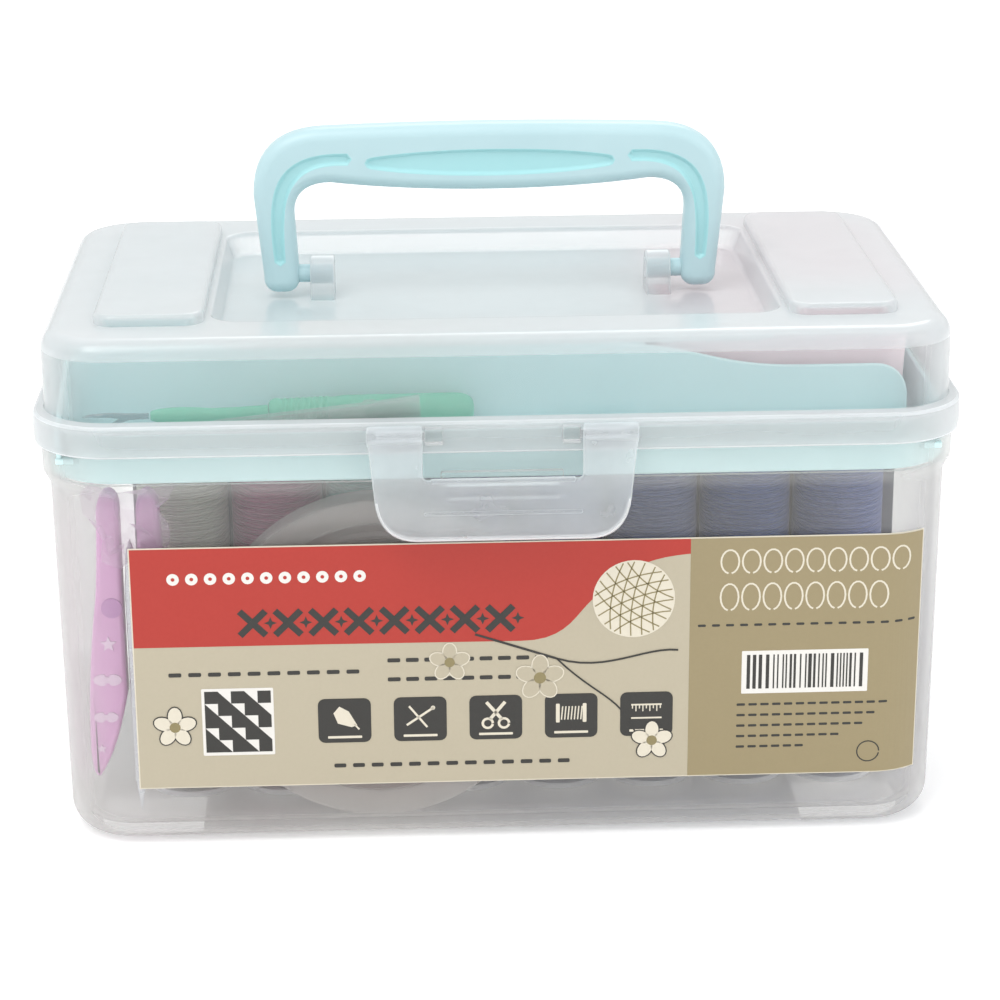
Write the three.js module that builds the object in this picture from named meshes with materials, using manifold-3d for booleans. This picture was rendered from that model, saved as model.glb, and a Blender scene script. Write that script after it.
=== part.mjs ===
// Sewing box with trays: a clear tub with a hinged clear lid, a folding carry
// handle, a front latch, two lift-out trays and the sewing kit inside.
// Millimetres, +Z up, +X to the right, front towards -Y.
// The origin is the centre of the footprint, on the surface the box stands on.

import * as THREE from "three";
import { mergeVertices } from "three/addons/utils/BufferGeometryUtils.js";
import Module from "manifold-3d";

const wasm = await Module();
wasm.setup();

// ---------------------------------------------------------------- dimensions

const PLAY = 0.4; // clearance between neighbouring pieces
const WALL = 1.5; // moulded wall thickness
const CORNER_STEPS = 5; // facets in each quarter round of a plan corner

const TUB = {
  footHalfX: 103.7,
  footHalfY: 60.7,
  topHalfX: 104.4,
  topHalfY: 61.6,
  corner: 16,
  bottomRound: 7,
  floorTop: 3.2,
  stepLow: 88,
  stepHigh: 91,
  collarHalfX: 106,
  collarHalfY: 63.6,
  collarWall: 1.4,
  collarTop: 103.5,
  trayLedge: 90.3,
  archDepth: 1.3,
};

const LID = {
  skirtHalfX: 107.6,
  skirtHalfY: 65.4,
  skirtBottom: 97.8,
  skirtWall: 1.3,
  ledge: 105.3,
  ledgeWall: 1.4,
  halfX: 105,
  halfY: 61.4,
  corner: 16,
  top: 124,
  topRound: 4.5,
  panelInner: 67.6,
  panelOuter: 93,
  panelHalfY: 47.6,
  panelTop: 126.6,
  recessHalfX: 66,
  recessHalfY: 44,
  recessFloor: 118.4,
};

const HANDLE = {
  pivotZ: 124,
  halfDepth: 4.2,
  footInner: 46.6,
  footOuter: 55.2,
  kneeOuter: 57.2,
  kneeInner: 47.4,
  kneeZ: 144,
  shoulder: 17,
  topZ: 160.9,
  innerKneeZ: 139.5,
  gripEndZ: 146.8,
  gripMidZ: 144.1,
  pinRadius: 2.2,
  grooveDepth: 0.8,
};

const HINGE = { y: 67.8, z: 95.4, radius: 2.8, pin: 1.3, centreX: 55 };

const LATCH = {
  y: -68.2,
  z: 103,
  knuckle: 2.4,
  pin: 1,
  halfTop: 30.8,
  halfBottom: 29,
  bottom: 78.3,
  shelf: 92.8,
  lobeInner: 18.1,
  corner: 9.5,
  rim: 1.3,
};

const TRAY = {
  bottom: 90.6,
  floor: 92.1,
  frontFloor: 96.4,
  bandTop: 102.4,
  halfX: 104.2,
  halfY: 61.8,
  corner: 16.4,
  wall: 1.4,
  dividerY: -33,
  leftZ: 116,
  middleZ: 114.2,
  rightZ: 107.8,
  rightX: 98,
};

const PINK = { x0: 40, x1: 100, y0: -29, y1: 49, bottom: 92.6, top: 115.8, corner: 7 };

const SPOOLS = {
  count: 8,
  first: -75.2,
  pitch: 22.5,
  y: -31,
  bottom: 3.6,
  height: 84,
  flange: 11.1,
  barrel: 5,
  thread: 10.9,
};

// ---------------------------------------------------------------- materials

function plastic(colour, roughness, opacity = 1) {
  return new THREE.MeshStandardMaterial({
    color: colour,
    roughness,
    metalness: 0,
    transparent: opacity < 1,
    opacity,
  });
}

const MATERIALS = {
  clear: plastic("#e6ebec", 0.25, 0.4),
  clearLatch: plastic("#e3e8ec", 0.3, 0.5),
  aqua: plastic("#b9dee3", 0.35),
  trayAqua: plastic("#b5dadd", 0.4),
  pink: plastic("#eed6dd", 0.4),
  label: plastic("#c84b42", 0.45),
  rippers: plastic("#7fd0b4", 0.3),
  orchid: plastic("#d9a0d5", 0.35),
  white: plastic("#ecebea", 0.35),
  core: plastic("#dfe0df", 0.5),
  steel: new THREE.MeshStandardMaterial({ color: "#b9bcc0", roughness: 0.3, metalness: 1 }),
};

const THREAD_COLOURS = [
  "#8d9082", "#7d6a75", "#6e8582", "#8b8794",
  "#9a9ba6", "#707c8d", "#82757c", "#727c92",
];

// ---------------------------------------------------------------- solid tools

function solid(geometry) {
  const bare = new THREE.BufferGeometry();
  bare.setAttribute("position", geometry.getAttribute("position").clone());
  bare.setIndex(geometry.getIndex());
  const merged = mergeVertices(bare, 1e-4);
  return new wasm.Manifold(
    new wasm.Mesh({
      numProp: 3,
      vertProperties: new Float32Array(merged.getAttribute("position").array),
      triVerts: new Uint32Array(merged.getIndex().array),
    }),
  );
}

function toGeometry(manifold) {
  const mesh = manifold.getMesh();
  const geometry = new THREE.BufferGeometry();
  geometry.setAttribute("position", new THREE.BufferAttribute(mesh.vertProperties, 3));
  geometry.setIndex(new THREE.BufferAttribute(mesh.triVerts, 1));
  geometry.computeVertexNormals();
  return geometry;
}

function join(first, ...rest) {
  return rest.reduce((sum, part) => sum.add(part), first);
}

function cut(first, ...rest) {
  return rest.reduce((sum, part) => sum.subtract(part), first);
}

function block(x0, x1, y0, y1, z0, z1) {
  const geometry = new THREE.BoxGeometry(x1 - x0, y1 - y0, z1 - z0);
  geometry.translate((x0 + x1) / 2, (y0 + y1) / 2, (z0 + z1) / 2);
  return solid(geometry);
}

// A round bar along X, centred on the line (y, z).
function barX(radius, x0, x1, y, z, sides = 16) {
  const geometry = new THREE.CylinderGeometry(radius, radius, x1 - x0, sides);
  geometry.rotateZ(Math.PI / 2);
  geometry.translate((x0 + x1) / 2, y, z);
  return solid(geometry);
}

// A shape drawn in X and Z, extruded along Y from y0 to y1.
function plateXZ(shape, y0, y1, curveSegments = 6) {
  const options = { depth: y1 - y0, bevelEnabled: false, curveSegments };
  const geometry = new THREE.ExtrudeGeometry(shape, options);
  geometry.rotateX(Math.PI / 2);
  geometry.translate(0, y1, 0);
  return solid(geometry);
}

// A shape drawn in Y and Z, extruded along X from x0 to x1.
function plateYZ(shape, x0, x1, curveSegments = 6) {
  const options = { depth: x1 - x0, bevelEnabled: false, curveSegments };
  const geometry = new THREE.ExtrudeGeometry(shape, options);
  const turn = new THREE.Matrix4().makeBasis(
    new THREE.Vector3(0, 1, 0),
    new THREE.Vector3(0, 0, 1),
    new THREE.Vector3(1, 0, 0),
  );
  geometry.applyMatrix4(turn);
  geometry.translate(x0, 0, 0);
  return solid(geometry);
}

function shapeOf(points) {
  return new THREE.Shape(points.map(([x, y]) => new THREE.Vector2(x, y)));
}

// A closed skin through a stack of outlines that all have the same number of
// points; each outline is { z, points } and runs anticlockwise seen from above.
function loft(outlines) {
  const count = outlines[0].points.length;
  const position = outlines.flatMap(({ z, points }) => points.flatMap(([x, y]) => [x, y, z]));
  const index = [];
  for (let level = 0; level + 1 < outlines.length; level += 1) {
    for (let i = 0; i < count; i += 1) {
      const a = level * count + i;
      const b = level * count + ((i + 1) % count);
      index.push(a, b, b + count, a, b + count, a + count);
    }
  }
  const flat = outlines[0].points.map(([x, y]) => new THREE.Vector2(x, y));
  const last = (outlines.length - 1) * count;
  for (const [a, b, c] of THREE.ShapeUtils.triangulateShape(flat, [])) {
    index.push(c, b, a, last + a, last + b, last + c);
  }
  const geometry = new THREE.BufferGeometry();
  geometry.setAttribute("position", new THREE.Float32BufferAttribute(position, 3));
  geometry.setIndex(index);
  return geometry;
}

function roundedOutline(halfX, halfY, corner, centreX = 0, centreY = 0) {
  const centres = [
    [halfX - corner, halfY - corner],
    [corner - halfX, halfY - corner],
    [corner - halfX, corner - halfY],
    [halfX - corner, corner - halfY],
  ];
  return centres.flatMap(([x, y], quarter) =>
    Array.from({ length: CORNER_STEPS + 1 }, (_, step) => {
      const angle = (quarter + step / CORNER_STEPS) * (Math.PI / 2);
      return [centreX + x + corner * Math.cos(angle), centreY + y + corner * Math.sin(angle)];
    }),
  );
}

// Levels are [z, half width, half depth, corner radius].
function roundedStack(levels, centreX = 0, centreY = 0) {
  return solid(
    loft(
      levels.map(([z, halfX, halfY, corner]) => ({
        z,
        points: roundedOutline(halfX, halfY, corner, centreX, centreY),
      })),
    ),
  );
}

// Levels of a quarter-round edge; direction is +1 for a bottom edge that
// starts at z and opens upwards, -1 for a top edge that closes towards z.
function roundEdge(z, halfX, halfY, corner, radius, direction, steps = 4) {
  const levels = Array.from({ length: steps + 1 }, (_, step) => {
    const angle = (step / steps) * (Math.PI / 2);
    const inset = radius * (1 - Math.sin(angle));
    const rise = radius * (1 - Math.cos(angle));
    return [z + direction * rise, halfX - inset, halfY - inset, corner - inset];
  });
  return direction > 0 ? levels : levels.reverse();
}

// ---------------------------------------------------------------- tub

function tubOuter() {
  const { footHalfX, footHalfY, topHalfX, topHalfY, corner, bottomRound } = TUB;
  return roundedStack([
    ...roundEdge(0, footHalfX, footHalfY, corner, bottomRound, 1),
    [TUB.stepLow, topHalfX, topHalfY, corner],
    [TUB.stepHigh, TUB.collarHalfX, TUB.collarHalfY, corner + 1.6],
    [TUB.collarTop, TUB.collarHalfX, TUB.collarHalfY, corner + 1.6],
  ]);
}

function tubInner() {
  const { footHalfX, footHalfY, topHalfX, topHalfY, corner, floorTop, trayLedge } = TUB;
  const collarX = TUB.collarHalfX - TUB.collarWall;
  const collarY = TUB.collarHalfY - TUB.collarWall;
  const innerRound = TUB.bottomRound - WALL;
  const foot = [footHalfX - WALL, footHalfY - WALL, corner - WALL];
  const bowl = roundedStack([
    ...roundEdge(floorTop, ...foot, innerRound, 1),
    [trayLedge + 1, topHalfX - WALL, topHalfY - WALL, corner - WALL],
  ]);
  const collar = roundedStack([
    [trayLedge, collarX, collarY, corner + 0.2],
    [TUB.collarTop + 1, collarX, collarY, corner + 0.2],
  ]);
  return join(bowl, collar);
}

function hingeLug(x0, x1) {
  const { y, z, radius } = HINGE;
  const root = TUB.collarHalfY - 0.4;
  const web = shapeOf([
    [root, z - 4],
    [y, z - radius],
    [y, z + 1],
    [root, z + 1.6],
  ]);
  return join(barX(radius, x0, x1, y, z), plateYZ(web, x0, x1));
}

function hingeLugs() {
  const { y, z, pin, centreX } = HINGE;
  const snapMouth = pin * 0.85;
  const lugs = [-1, 1].flatMap((side) =>
    [-8.5, 8.5].map((offset) => {
      const middle = side * centreX + offset;
      const bore = barX(pin + PLAY, middle - 6, middle + 6, y, z, 14);
      const mouth = block(middle - 6, middle + 6, y, y + 5, z - snapMouth, z + snapMouth);
      return cut(hingeLug(middle - 3.5, middle + 3.5), bore, mouth);
    }),
  );
  return join(...lugs);
}

function baseTub() {
  const { archDepth, footHalfX, footHalfY } = TUB;
  const archX = block(-72, 72, -footHalfY - 5, footHalfY + 5, -1, archDepth);
  const archY = block(-footHalfX - 5, footHalfX + 5, -34, 34, -1, archDepth);
  const catchRib = block(-14, 14, -TUB.collarHalfY - 2, -TUB.collarHalfY + 0.4, 91.3, 93.3);
  return join(cut(tubOuter(), tubInner(), archX, archY), catchRib, hingeLugs());
}

// ---------------------------------------------------------------- lid

function lidOuter() {
  const { skirtHalfX, skirtHalfY, skirtBottom, ledge, halfX, halfY, corner, top } = LID;
  const skirtCorner = corner + 2.8;
  return roundedStack([
    [skirtBottom, skirtHalfX - 0.3, skirtHalfY - 0.3, skirtCorner],
    [skirtBottom + 0.8, skirtHalfX, skirtHalfY, skirtCorner],
    [ledge - 1.2, skirtHalfX, skirtHalfY, skirtCorner],
    [ledge - 0.2, skirtHalfX - 0.8, skirtHalfY - 0.8, skirtCorner - 0.8],
    [ledge, halfX + 0.4, halfY + 0.4, corner + 0.2],
    [ledge + 0.5, halfX, halfY, corner],
    ...roundEdge(top, halfX, halfY, corner, LID.topRound, -1),
  ]);
}

function lidCavity() {
  const { skirtHalfX, skirtHalfY, skirtBottom, skirtWall, halfX, halfY, corner, top } = LID;
  const roof = LID.ledge - LID.ledgeWall;
  const skirt = roundedStack([
    [skirtBottom - 1, skirtHalfX - skirtWall, skirtHalfY - skirtWall, corner + 1.6],
    [roof, skirtHalfX - skirtWall, skirtHalfY - skirtWall, corner + 1.6],
  ]);
  const inner = [halfX - WALL, halfY - WALL, corner - WALL];
  const upper = roundedStack([
    [roof - 1, ...inner],
    ...roundEdge(top - WALL, ...inner, LID.topRound - WALL, -1),
  ]);
  return join(skirt, upper);
}

// A raised panel on each side of the handle recess, hollow underneath.
function lidPanel(side, inset, low, high) {
  const x0 = LID.panelInner + inset;
  const x1 = LID.panelOuter - inset;
  const halfY = LID.panelHalfY - inset;
  const middle = (side * (x0 + x1)) / 2;
  const half = (x1 - x0) / 2;
  return roundedStack(
    [
      [low, half, halfY, 5 - inset],
      [high - 0.6, half, halfY, 5 - inset],
      [high, half - 0.6, halfY - 0.6, 4.4 - inset],
    ],
    middle,
  );
}

function handleRecess(grow, floor, high) {
  const { recessHalfX, recessHalfY } = LID;
  return roundedStack([
    [floor, recessHalfX + grow - 1.5, recessHalfY + grow - 1.5, 6 + grow],
    [high, recessHalfX + grow, recessHalfY + grow, 7 + grow],
  ]);
}

function pivotBracket(side) {
  const { pivotZ, pinRadius } = HANDLE;
  const round = 4.4;
  const foot = LID.recessFloor - 0.8;
  const shape = new THREE.Shape();
  shape.moveTo(-round - 1, foot);
  shape.lineTo(round + 1, foot);
  shape.lineTo(round, pivotZ);
  shape.absarc(0, pivotZ, round, 0, Math.PI, false);
  shape.closePath();
  const x0 = side > 0 ? 38 : -44;
  const bore = barX(pinRadius + PLAY, x0 - 1, x0 + 7, 0, pivotZ, 16);
  return cut(plateYZ(shape, x0, x0 + 6, 8), bore);
}

// Small lugs with stub pins that carry the latch.
function latchLug(side) {
  const { y, z, knuckle, pin } = LATCH;
  const [x0, x1] = side > 0 ? [13.5, 17.6] : [-17.6, -13.5];
  const root = -LID.skirtHalfY + 0.4;
  const web = shapeOf([
    [root, z - 2.2],
    [root, z + 2.2],
    [y, z + knuckle - 0.2],
    [y, z - knuckle + 0.2],
  ]);
  const stub = side > 0 ? [17, 28] : [-28, -17];
  return join(
    barX(knuckle - 0.2, x0, x1, y, z, 16),
    plateYZ(web, x0, x1),
    barX(pin, ...stub, y, z, 12),
  );
}

// A hinge arm hangs from the rear skirt and ends in the pin of the hinge.
function hingeArm(side) {
  const { y, z, radius, pin, centreX } = HINGE;
  const x0 = side * centreX - 4.5;
  const x1 = side * centreX + 4.5;
  const root = LID.skirtHalfY - 0.4;
  const web = shapeOf([
    [root, 98.6],
    [y - radius + 0.3, z],
    [y + radius - 0.05, z],
    [y + radius - 0.4, 100],
    [root, 104.2],
  ]);
  return join(
    barX(radius, x0, x1, y, z),
    plateYZ(web, x0, x1),
    barX(pin, side * centreX - 11.6, side * centreX + 11.6, y, z, 12),
  );
}

function lidShell() {
  const { recessFloor, top, panelTop } = LID;
  const panels = [-1, 1].map((side) => lidPanel(side, 0, top - 3, panelTop));
  const panelHollows = [-1, 1].map((side) => lidPanel(side, WALL, top - 6, panelTop - WALL));
  const body = join(lidOuter(), ...panels);
  const keep = handleRecess(WALL, recessFloor - WALL, panelTop + 2);
  const hollow = cut(join(lidCavity(), ...panelHollows), keep);
  const shell = cut(body, hollow, handleRecess(0, recessFloor, panelTop + 3));
  const fittings = [-1, 1].flatMap((side) => [pivotBracket(side), latchLug(side), hingeArm(side)]);
  return join(shell, ...fittings);
}

// ---------------------------------------------------------------- handle

function handleOutline() {
  const { footInner, footOuter, kneeOuter, kneeInner, kneeZ, topZ, shoulder, pivotZ } = HANDLE;
  const { innerKneeZ, gripEndZ, gripMidZ } = HANDLE;
  const foot = (footOuter - footInner) / 2;
  const middle = (footOuter + footInner) / 2;
  const shape = new THREE.Shape();
  shape.moveTo(footOuter, pivotZ);
  shape.lineTo(kneeOuter, kneeZ);
  shape.quadraticCurveTo(kneeOuter, topZ, kneeOuter - shoulder, topZ - 0.4);
  shape.lineTo(0, topZ);
  shape.lineTo(shoulder - kneeOuter, topZ - 0.4);
  shape.quadraticCurveTo(-kneeOuter, topZ, -kneeOuter, kneeZ);
  shape.lineTo(-footOuter, pivotZ);
  shape.absarc(-middle, pivotZ, foot, Math.PI, 2 * Math.PI, false);
  shape.lineTo(-kneeInner, innerKneeZ);
  shape.quadraticCurveTo(-kneeInner, gripEndZ, -kneeInner + 8, gripEndZ);
  shape.bezierCurveTo(-26, gripMidZ, 26, gripMidZ, kneeInner - 8, gripEndZ);
  shape.quadraticCurveTo(kneeInner, gripEndZ, kneeInner, innerKneeZ);
  shape.lineTo(footInner, pivotZ);
  shape.absarc(middle, pivotZ, foot, Math.PI, 2 * Math.PI, false);
  return shape;
}

// The moulded channel along each leg, and the long leaf-shaped one on the grip.
function handleGrooves() {
  const leaf = new THREE.Shape();
  leaf.moveTo(-29, 151.6);
  leaf.quadraticCurveTo(0, 156.8, 29, 151.6);
  leaf.quadraticCurveTo(0, 146.4, -29, 151.6);
  const channel = (side) => {
    const shape = new THREE.Shape();
    shape.moveTo(side * 49.9, 127);
    shape.lineTo(side * 52.1, 127);
    shape.lineTo(side * 53, 144);
    shape.quadraticCurveTo(side * 52.6, 154.4, side * 33, 153.6);
    shape.lineTo(side * 33, 151.6);
    shape.quadraticCurveTo(side * 50.2, 152.6, side * 50.8, 144);
    shape.closePath();
    return shape;
  };
  const deep = HANDLE.halfDepth - HANDLE.grooveDepth;
  const far = HANDLE.halfDepth + 1;
  return [leaf, channel(-1), channel(1)].flatMap((shape) => [
    plateXZ(shape, -far, -deep, 5),
    plateXZ(shape, deep, far, 5),
  ]);
}

function handlePins() {
  const { pinRadius, pivotZ, footInner } = HANDLE;
  const tip = 38.4;
  return [
    barX(pinRadius, -footInner - 2, -tip, 0, pivotZ, 14),
    barX(pinRadius, tip, footInner + 2, 0, pivotZ, 14),
  ];
}

// The foot of each leg is round about the pivot, so it clears the recess.
function handleFeetRound() {
  const { halfDepth, pivotZ, footOuter, footInner } = HANDLE;
  const low = pivotZ - 6;
  return [-1, 1].map((side) => {
    const [x0, x1] = side > 0 ? [footInner - 1, footOuter + 1] : [-footOuter - 1, 1 - footInner];
    const slab = block(x0, x1, -halfDepth - 1, halfDepth + 1, low, pivotZ);
    return cut(slab, barX(halfDepth, x0 - 1, x1 + 1, 0, pivotZ, 20));
  });
}

function carryHandle() {
  const body = plateXZ(handleOutline(), -HANDLE.halfDepth, HANDLE.halfDepth, 7);
  const shaped = cut(body, ...handleGrooves(), ...handleFeetRound());
  return join(shaped, ...handlePins());
}

// ---------------------------------------------------------------- latch

function latchOutline(inset, top) {
  const halfTop = LATCH.halfTop - inset;
  const halfBottom = LATCH.halfBottom - inset;
  const bottom = LATCH.bottom + inset;
  const round = LATCH.corner - inset;
  const shape = new THREE.Shape();
  shape.moveTo(halfTop, top);
  shape.lineTo(-halfTop, top);
  shape.lineTo(-halfBottom, bottom + round);
  shape.quadraticCurveTo(-halfBottom + 0.4, bottom, -halfBottom + round, bottom);
  shape.lineTo(halfBottom - round, bottom);
  shape.quadraticCurveTo(halfBottom - 0.4, bottom, halfBottom, bottom + round);
  return shape;
}

function frontLatch() {
  const { y, z, knuckle, pin, lobeInner, halfTop, shelf, rim } = LATCH;
  const plate = plateXZ(latchOutline(0, z), y - 2, y - 0.2);
  const rimBand = cut(
    plateXZ(latchOutline(0, shelf), y - knuckle, y + 0.2),
    plateXZ(latchOutline(rim, shelf + 2), y - knuckle - 1, y + 1),
  );
  const window = block(-lobeInner, lobeInner, y - 5, y + 5, shelf, z + 5);
  const rib = block(-18, 18, y - knuckle, y - 1, 84.6, 85.6);
  const hook = block(-13, 13, y - 1, -TUB.collarHalfY - 2 - 0.3, 87.6, 90.9);
  const knuckles = [
    barX(knuckle, lobeInner, halfTop, y, z, 16),
    barX(knuckle, -halfTop, -lobeInner, y, z, 16),
  ];
  const bores = [
    barX(pin + 0.35, lobeInner - 1, 28.6, y, z, 12),
    barX(pin + 0.35, -28.6, 1 - lobeInner, y, z, 12),
  ];
  return cut(join(cut(join(plate, rimBand), window), rib, hook, ...knuckles), ...bores);
}

// ---------------------------------------------------------------- trays

function trayEnvelope() {
  const { bottom, halfX, halfY, corner, bandTop } = TRAY;
  const upperX = LID.halfX - WALL - 0.9;
  const upperY = LID.halfY - WALL - 0.9;
  return roundedStack([
    [bottom, halfX - 0.8, halfY - 0.8, corner - 0.6],
    [bottom + 0.8, halfX, halfY, corner],
    [bandTop, halfX, halfY, corner],
    [bandTop + 0.01, upperX, upperY, LID.corner - WALL - 0.9],
    [120, upperX - 0.6, upperY - 0.6, LID.corner - WALL - 1.5],
  ]);
}

// The long divider behind the tool compartment, with its S-shaped top edge.
function trayDivider() {
  const { dividerY, wall, leftZ, middleZ, rightZ, rightX, bottom } = TRAY;
  const shape = new THREE.Shape();
  shape.moveTo(-110, bottom);
  shape.lineTo(rightX, bottom);
  shape.lineTo(rightX, rightZ - 8);
  shape.quadraticCurveTo(rightX, rightZ, rightX - 8, rightZ);
  shape.lineTo(72, rightZ);
  shape.bezierCurveTo(50, rightZ, 48, middleZ, 20, middleZ);
  shape.lineTo(-92, leftZ);
  shape.quadraticCurveTo(-99, leftZ, -101.5, 110);
  shape.lineTo(-110, 108);
  return plateXZ(shape, dividerY, dividerY + wall, 8);
}

// The raised end wall of the tool compartment, which slopes down to the front.
function trayEndWall() {
  const shape = shapeOf([
    [-62, TRAY.frontFloor - 0.5],
    [TRAY.dividerY + 1, TRAY.frontFloor - 0.5],
    [TRAY.dividerY + 1, 113],
    [-56, 105],
    [-62, 103],
  ]);
  return plateYZ(shape, -101.4, -100);
}

function trayWell() {
  const { floor, frontFloor, halfX, halfY, corner, wall, bandTop, dividerY } = TRAY;
  const rear = roundedStack([
    [floor, halfX - wall - 0.4, halfY - wall - 0.4, corner - wall],
    [bandTop + 20, halfX - wall, halfY - wall, corner - wall],
  ]);
  const front = block(-120, 120, -80, dividerY, floor - 1, frontFloor);
  const underFront = roundedStack([
    [TRAY.bottom - 1, halfX - wall - 1.6, halfY - wall - 1, corner - wall],
    [frontFloor - wall, halfX - wall - 1.6, halfY - wall - 1, corner - wall],
  ]);
  const pocket = underFront.intersect(block(-120, 120, -80, dividerY, 80, frontFloor));
  return { rear: cut(rear, front), pocket };
}

function liftOutTray() {
  const { bottom, wall, bandTop, dividerY } = TRAY;
  const envelope = trayEnvelope();
  const { rear, pocket } = trayWell();
  const band = envelope.intersect(block(-120, 120, -80, 80, bottom - 1, bandTop));
  const crossLeft = block(-37, -37 + wall, dividerY + 0.5, 61, bottom + 0.5, 106);
  const crossRight = block(36.6, 36.6 + wall, dividerY + 0.5, 61, bottom + 0.5, 106);
  const leftRail = block(-103.5, -36, 14, 14 + wall, bottom + 0.5, 106);
  const walls = join(trayDivider(), trayEndWall(), crossLeft, crossRight, leftRail);
  const inside = walls.intersect(envelope);
  return join(cut(band, rear, pocket), inside);
}

function smallPartsTray() {
  const { x0, x1, y0, y1, bottom, top, corner } = PINK;
  const centre = [(x0 + x1) / 2, (y0 + y1) / 2];
  const half = [(x1 - x0) / 2, (y1 - y0) / 2];
  const wall = 1.3;
  const outer = roundedStack(
    [
      [bottom, half[0] - 1.6, half[1] - 1.6, corner - 1],
      [top - 2, half[0] - 0.6, half[1] - 0.6, corner],
      [top - 1.6, half[0], half[1], corner + 0.6],
      [top, half[0], half[1], corner + 0.6],
    ],
    ...centre,
  );
  const inner = roundedStack(
    [
      [bottom + wall, half[0] - wall - 1.6, half[1] - wall - 1.6, corner - 1.4],
      [top + 1, half[0] - wall - 0.6, half[1] - wall - 0.6, corner - 0.6],
    ],
    ...centre,
  );
  const fence = block(x0 + 2.4, x1 - 2.4, 9, 10.2, bottom + 0.5, top - 5);
  return join(cut(outer, inner), fence);
}

// ---------------------------------------------------------------- front label

// The sheet follows the flat of the front wall and turns into the right corner.
function labelSheet() {
  const low = 15;
  const high = 75.3;
  const left = -86;
  const turn = THREE.MathUtils.degToRad(36);
  const thickness = 0.3;
  const outlineAt = (z) => {
    const lean = (z - TUB.bottomRound) / (TUB.stepLow - TUB.bottomRound);
    const halfX = THREE.MathUtils.lerp(TUB.footHalfX, TUB.topHalfX, lean);
    const halfY = THREE.MathUtils.lerp(TUB.footHalfY, TUB.topHalfY, lean);
    const edge = (away) => {
      const reach = TUB.corner + away;
      const arc = Array.from({ length: 6 }, (_, step) => {
        const angle = (turn * step) / 5;
        return [
          halfX - TUB.corner + reach * Math.sin(angle),
          TUB.corner - halfY - reach * Math.cos(angle),
        ];
      });
      return [[left, -halfY - away], ...arc];
    };
    const inner = edge(0.35);
    const outer = edge(0.35 + thickness);
    return { z, points: [...outer, ...inner.reverse()] };
  };
  return solid(loft([outlineAt(low), outlineAt(high)]));
}

// ---------------------------------------------------------------- sewing kit

// A turned piece: profile points are [radius, distance along the axis].
function turned(profile, segments = 14) {
  const points = profile.map(([radius, along]) => new THREE.Vector2(radius, along));
  return solid(new THREE.LatheGeometry(points, segments));
}

function spoolCore() {
  const { flange, barrel, height } = SPOOLS;
  const core = turned([
    [0, 0], [flange - 0.4, 0], [flange, 0.4], [flange, 1.4], [barrel, 2],
    [barrel, height - 2], [flange, height - 1.4], [flange, height - 0.4],
    [flange - 0.4, height], [0, height],
  ]);
  return core;
}

function spoolThread() {
  const { barrel, thread, height } = SPOOLS;
  return turned([
    [barrel + 0.35, 2.9], [thread - 0.8, 2.9], [thread, 5], [thread, height - 5],
    [thread - 0.8, height - 2.9], [barrel + 0.35, height - 2.9], [barrel + 0.35, 2.9],
  ]);
}

// The seam ripper lies in the front compartment, fork to the left, with its cap before it.
const RIPPER = { tip: [-96.5, -46.2, 102.2], yaw: 4.77, pitch: 1.16, neck: 15.8, grip: 43.2, end: 91.2 };
const CAP = { tip: [-65.8, -52, 100.7], yaw: 1.7, pitch: -1.7, length: 47.6 };

function ripperHandle() {
  const { neck, grip } = RIPPER;
  return turned([
    [0, neck], [1.1, neck], [1.6, neck + 2], [1.9, neck + 8], [1.5, neck + 14], [2, grip - 0.2],
    [0, grip - 0.2],
  ]);
}

function ripperGrip() {
  const { grip, end } = RIPPER;
  return turned([
    [0, grip], [2.6, grip], [3.4, grip + 0.8], [3.9, grip + 6], [3.9, end - 3.4],
    [3.2, end - 1], [1.8, end], [0, end],
  ]);
}

function ripperCap() {
  const { length } = CAP;
  return turned([
    [0, 0], [1.6, 0], [2, 0.4], [4.1, 34.2], [4.7, 35], [4.7, 37], [4.4, 38], [5.3, length],
    [4.7, length], [3.8, 37], [3.4, 34], [1.3, 2], [0, 2],
  ]);
}

function ripperFork() {
  const shape = shapeOf([
    [0, 0.4], [6, 0.9], [11, 0.7], [15.5, 0.7], [15.5, -0.7], [11, -0.7], [8.4, -1.9],
    [6.6, -1.9], [8.6, -0.4], [6.6, -0.2], [0, 0],
  ]);
  const options = { depth: 0.8, bevelEnabled: false };
  const geometry = new THREE.ExtrudeGeometry(shape, options);
  geometry.rotateX(Math.PI / 2);
  geometry.translate(0, 0.4, 0);
  return solid(geometry);
}

// A case half: a shallow round dish on edge, its axis along Y.
const CASE = { x: -29, y: -55.4, z: 43.9, radius: 40, depth: 10 };

function caseDish() {
  const { radius, depth } = CASE;
  return turned(
    [
      [0, 3.2], [10, 3.2], [12, 4.2], [radius - 5.6, 4.2], [radius - 4.2, 3.4],
      [radius - 2.8, 2.2], [radius - 2, depth], [0, depth],
    ],
    32,
  );
}

function caseRing() {
  const { radius } = CASE;
  return turned(
    [
      [radius - 6.4, 0.4], [radius - 1, 0], [radius, 0.8], [radius, 7.6],
      [radius - 1.3, 7.6], [radius - 1.3, 1.7], [radius - 6.4, 1.7], [radius - 6.4, 0.4],
    ],
    32,
  );
}

// Thread snips, standing on edge: two bowed grips on a steel spring.
const SNIPS = { x: -86.5, y: -51, low: 14, high: 86, halfDepth: 3.6 };

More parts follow.
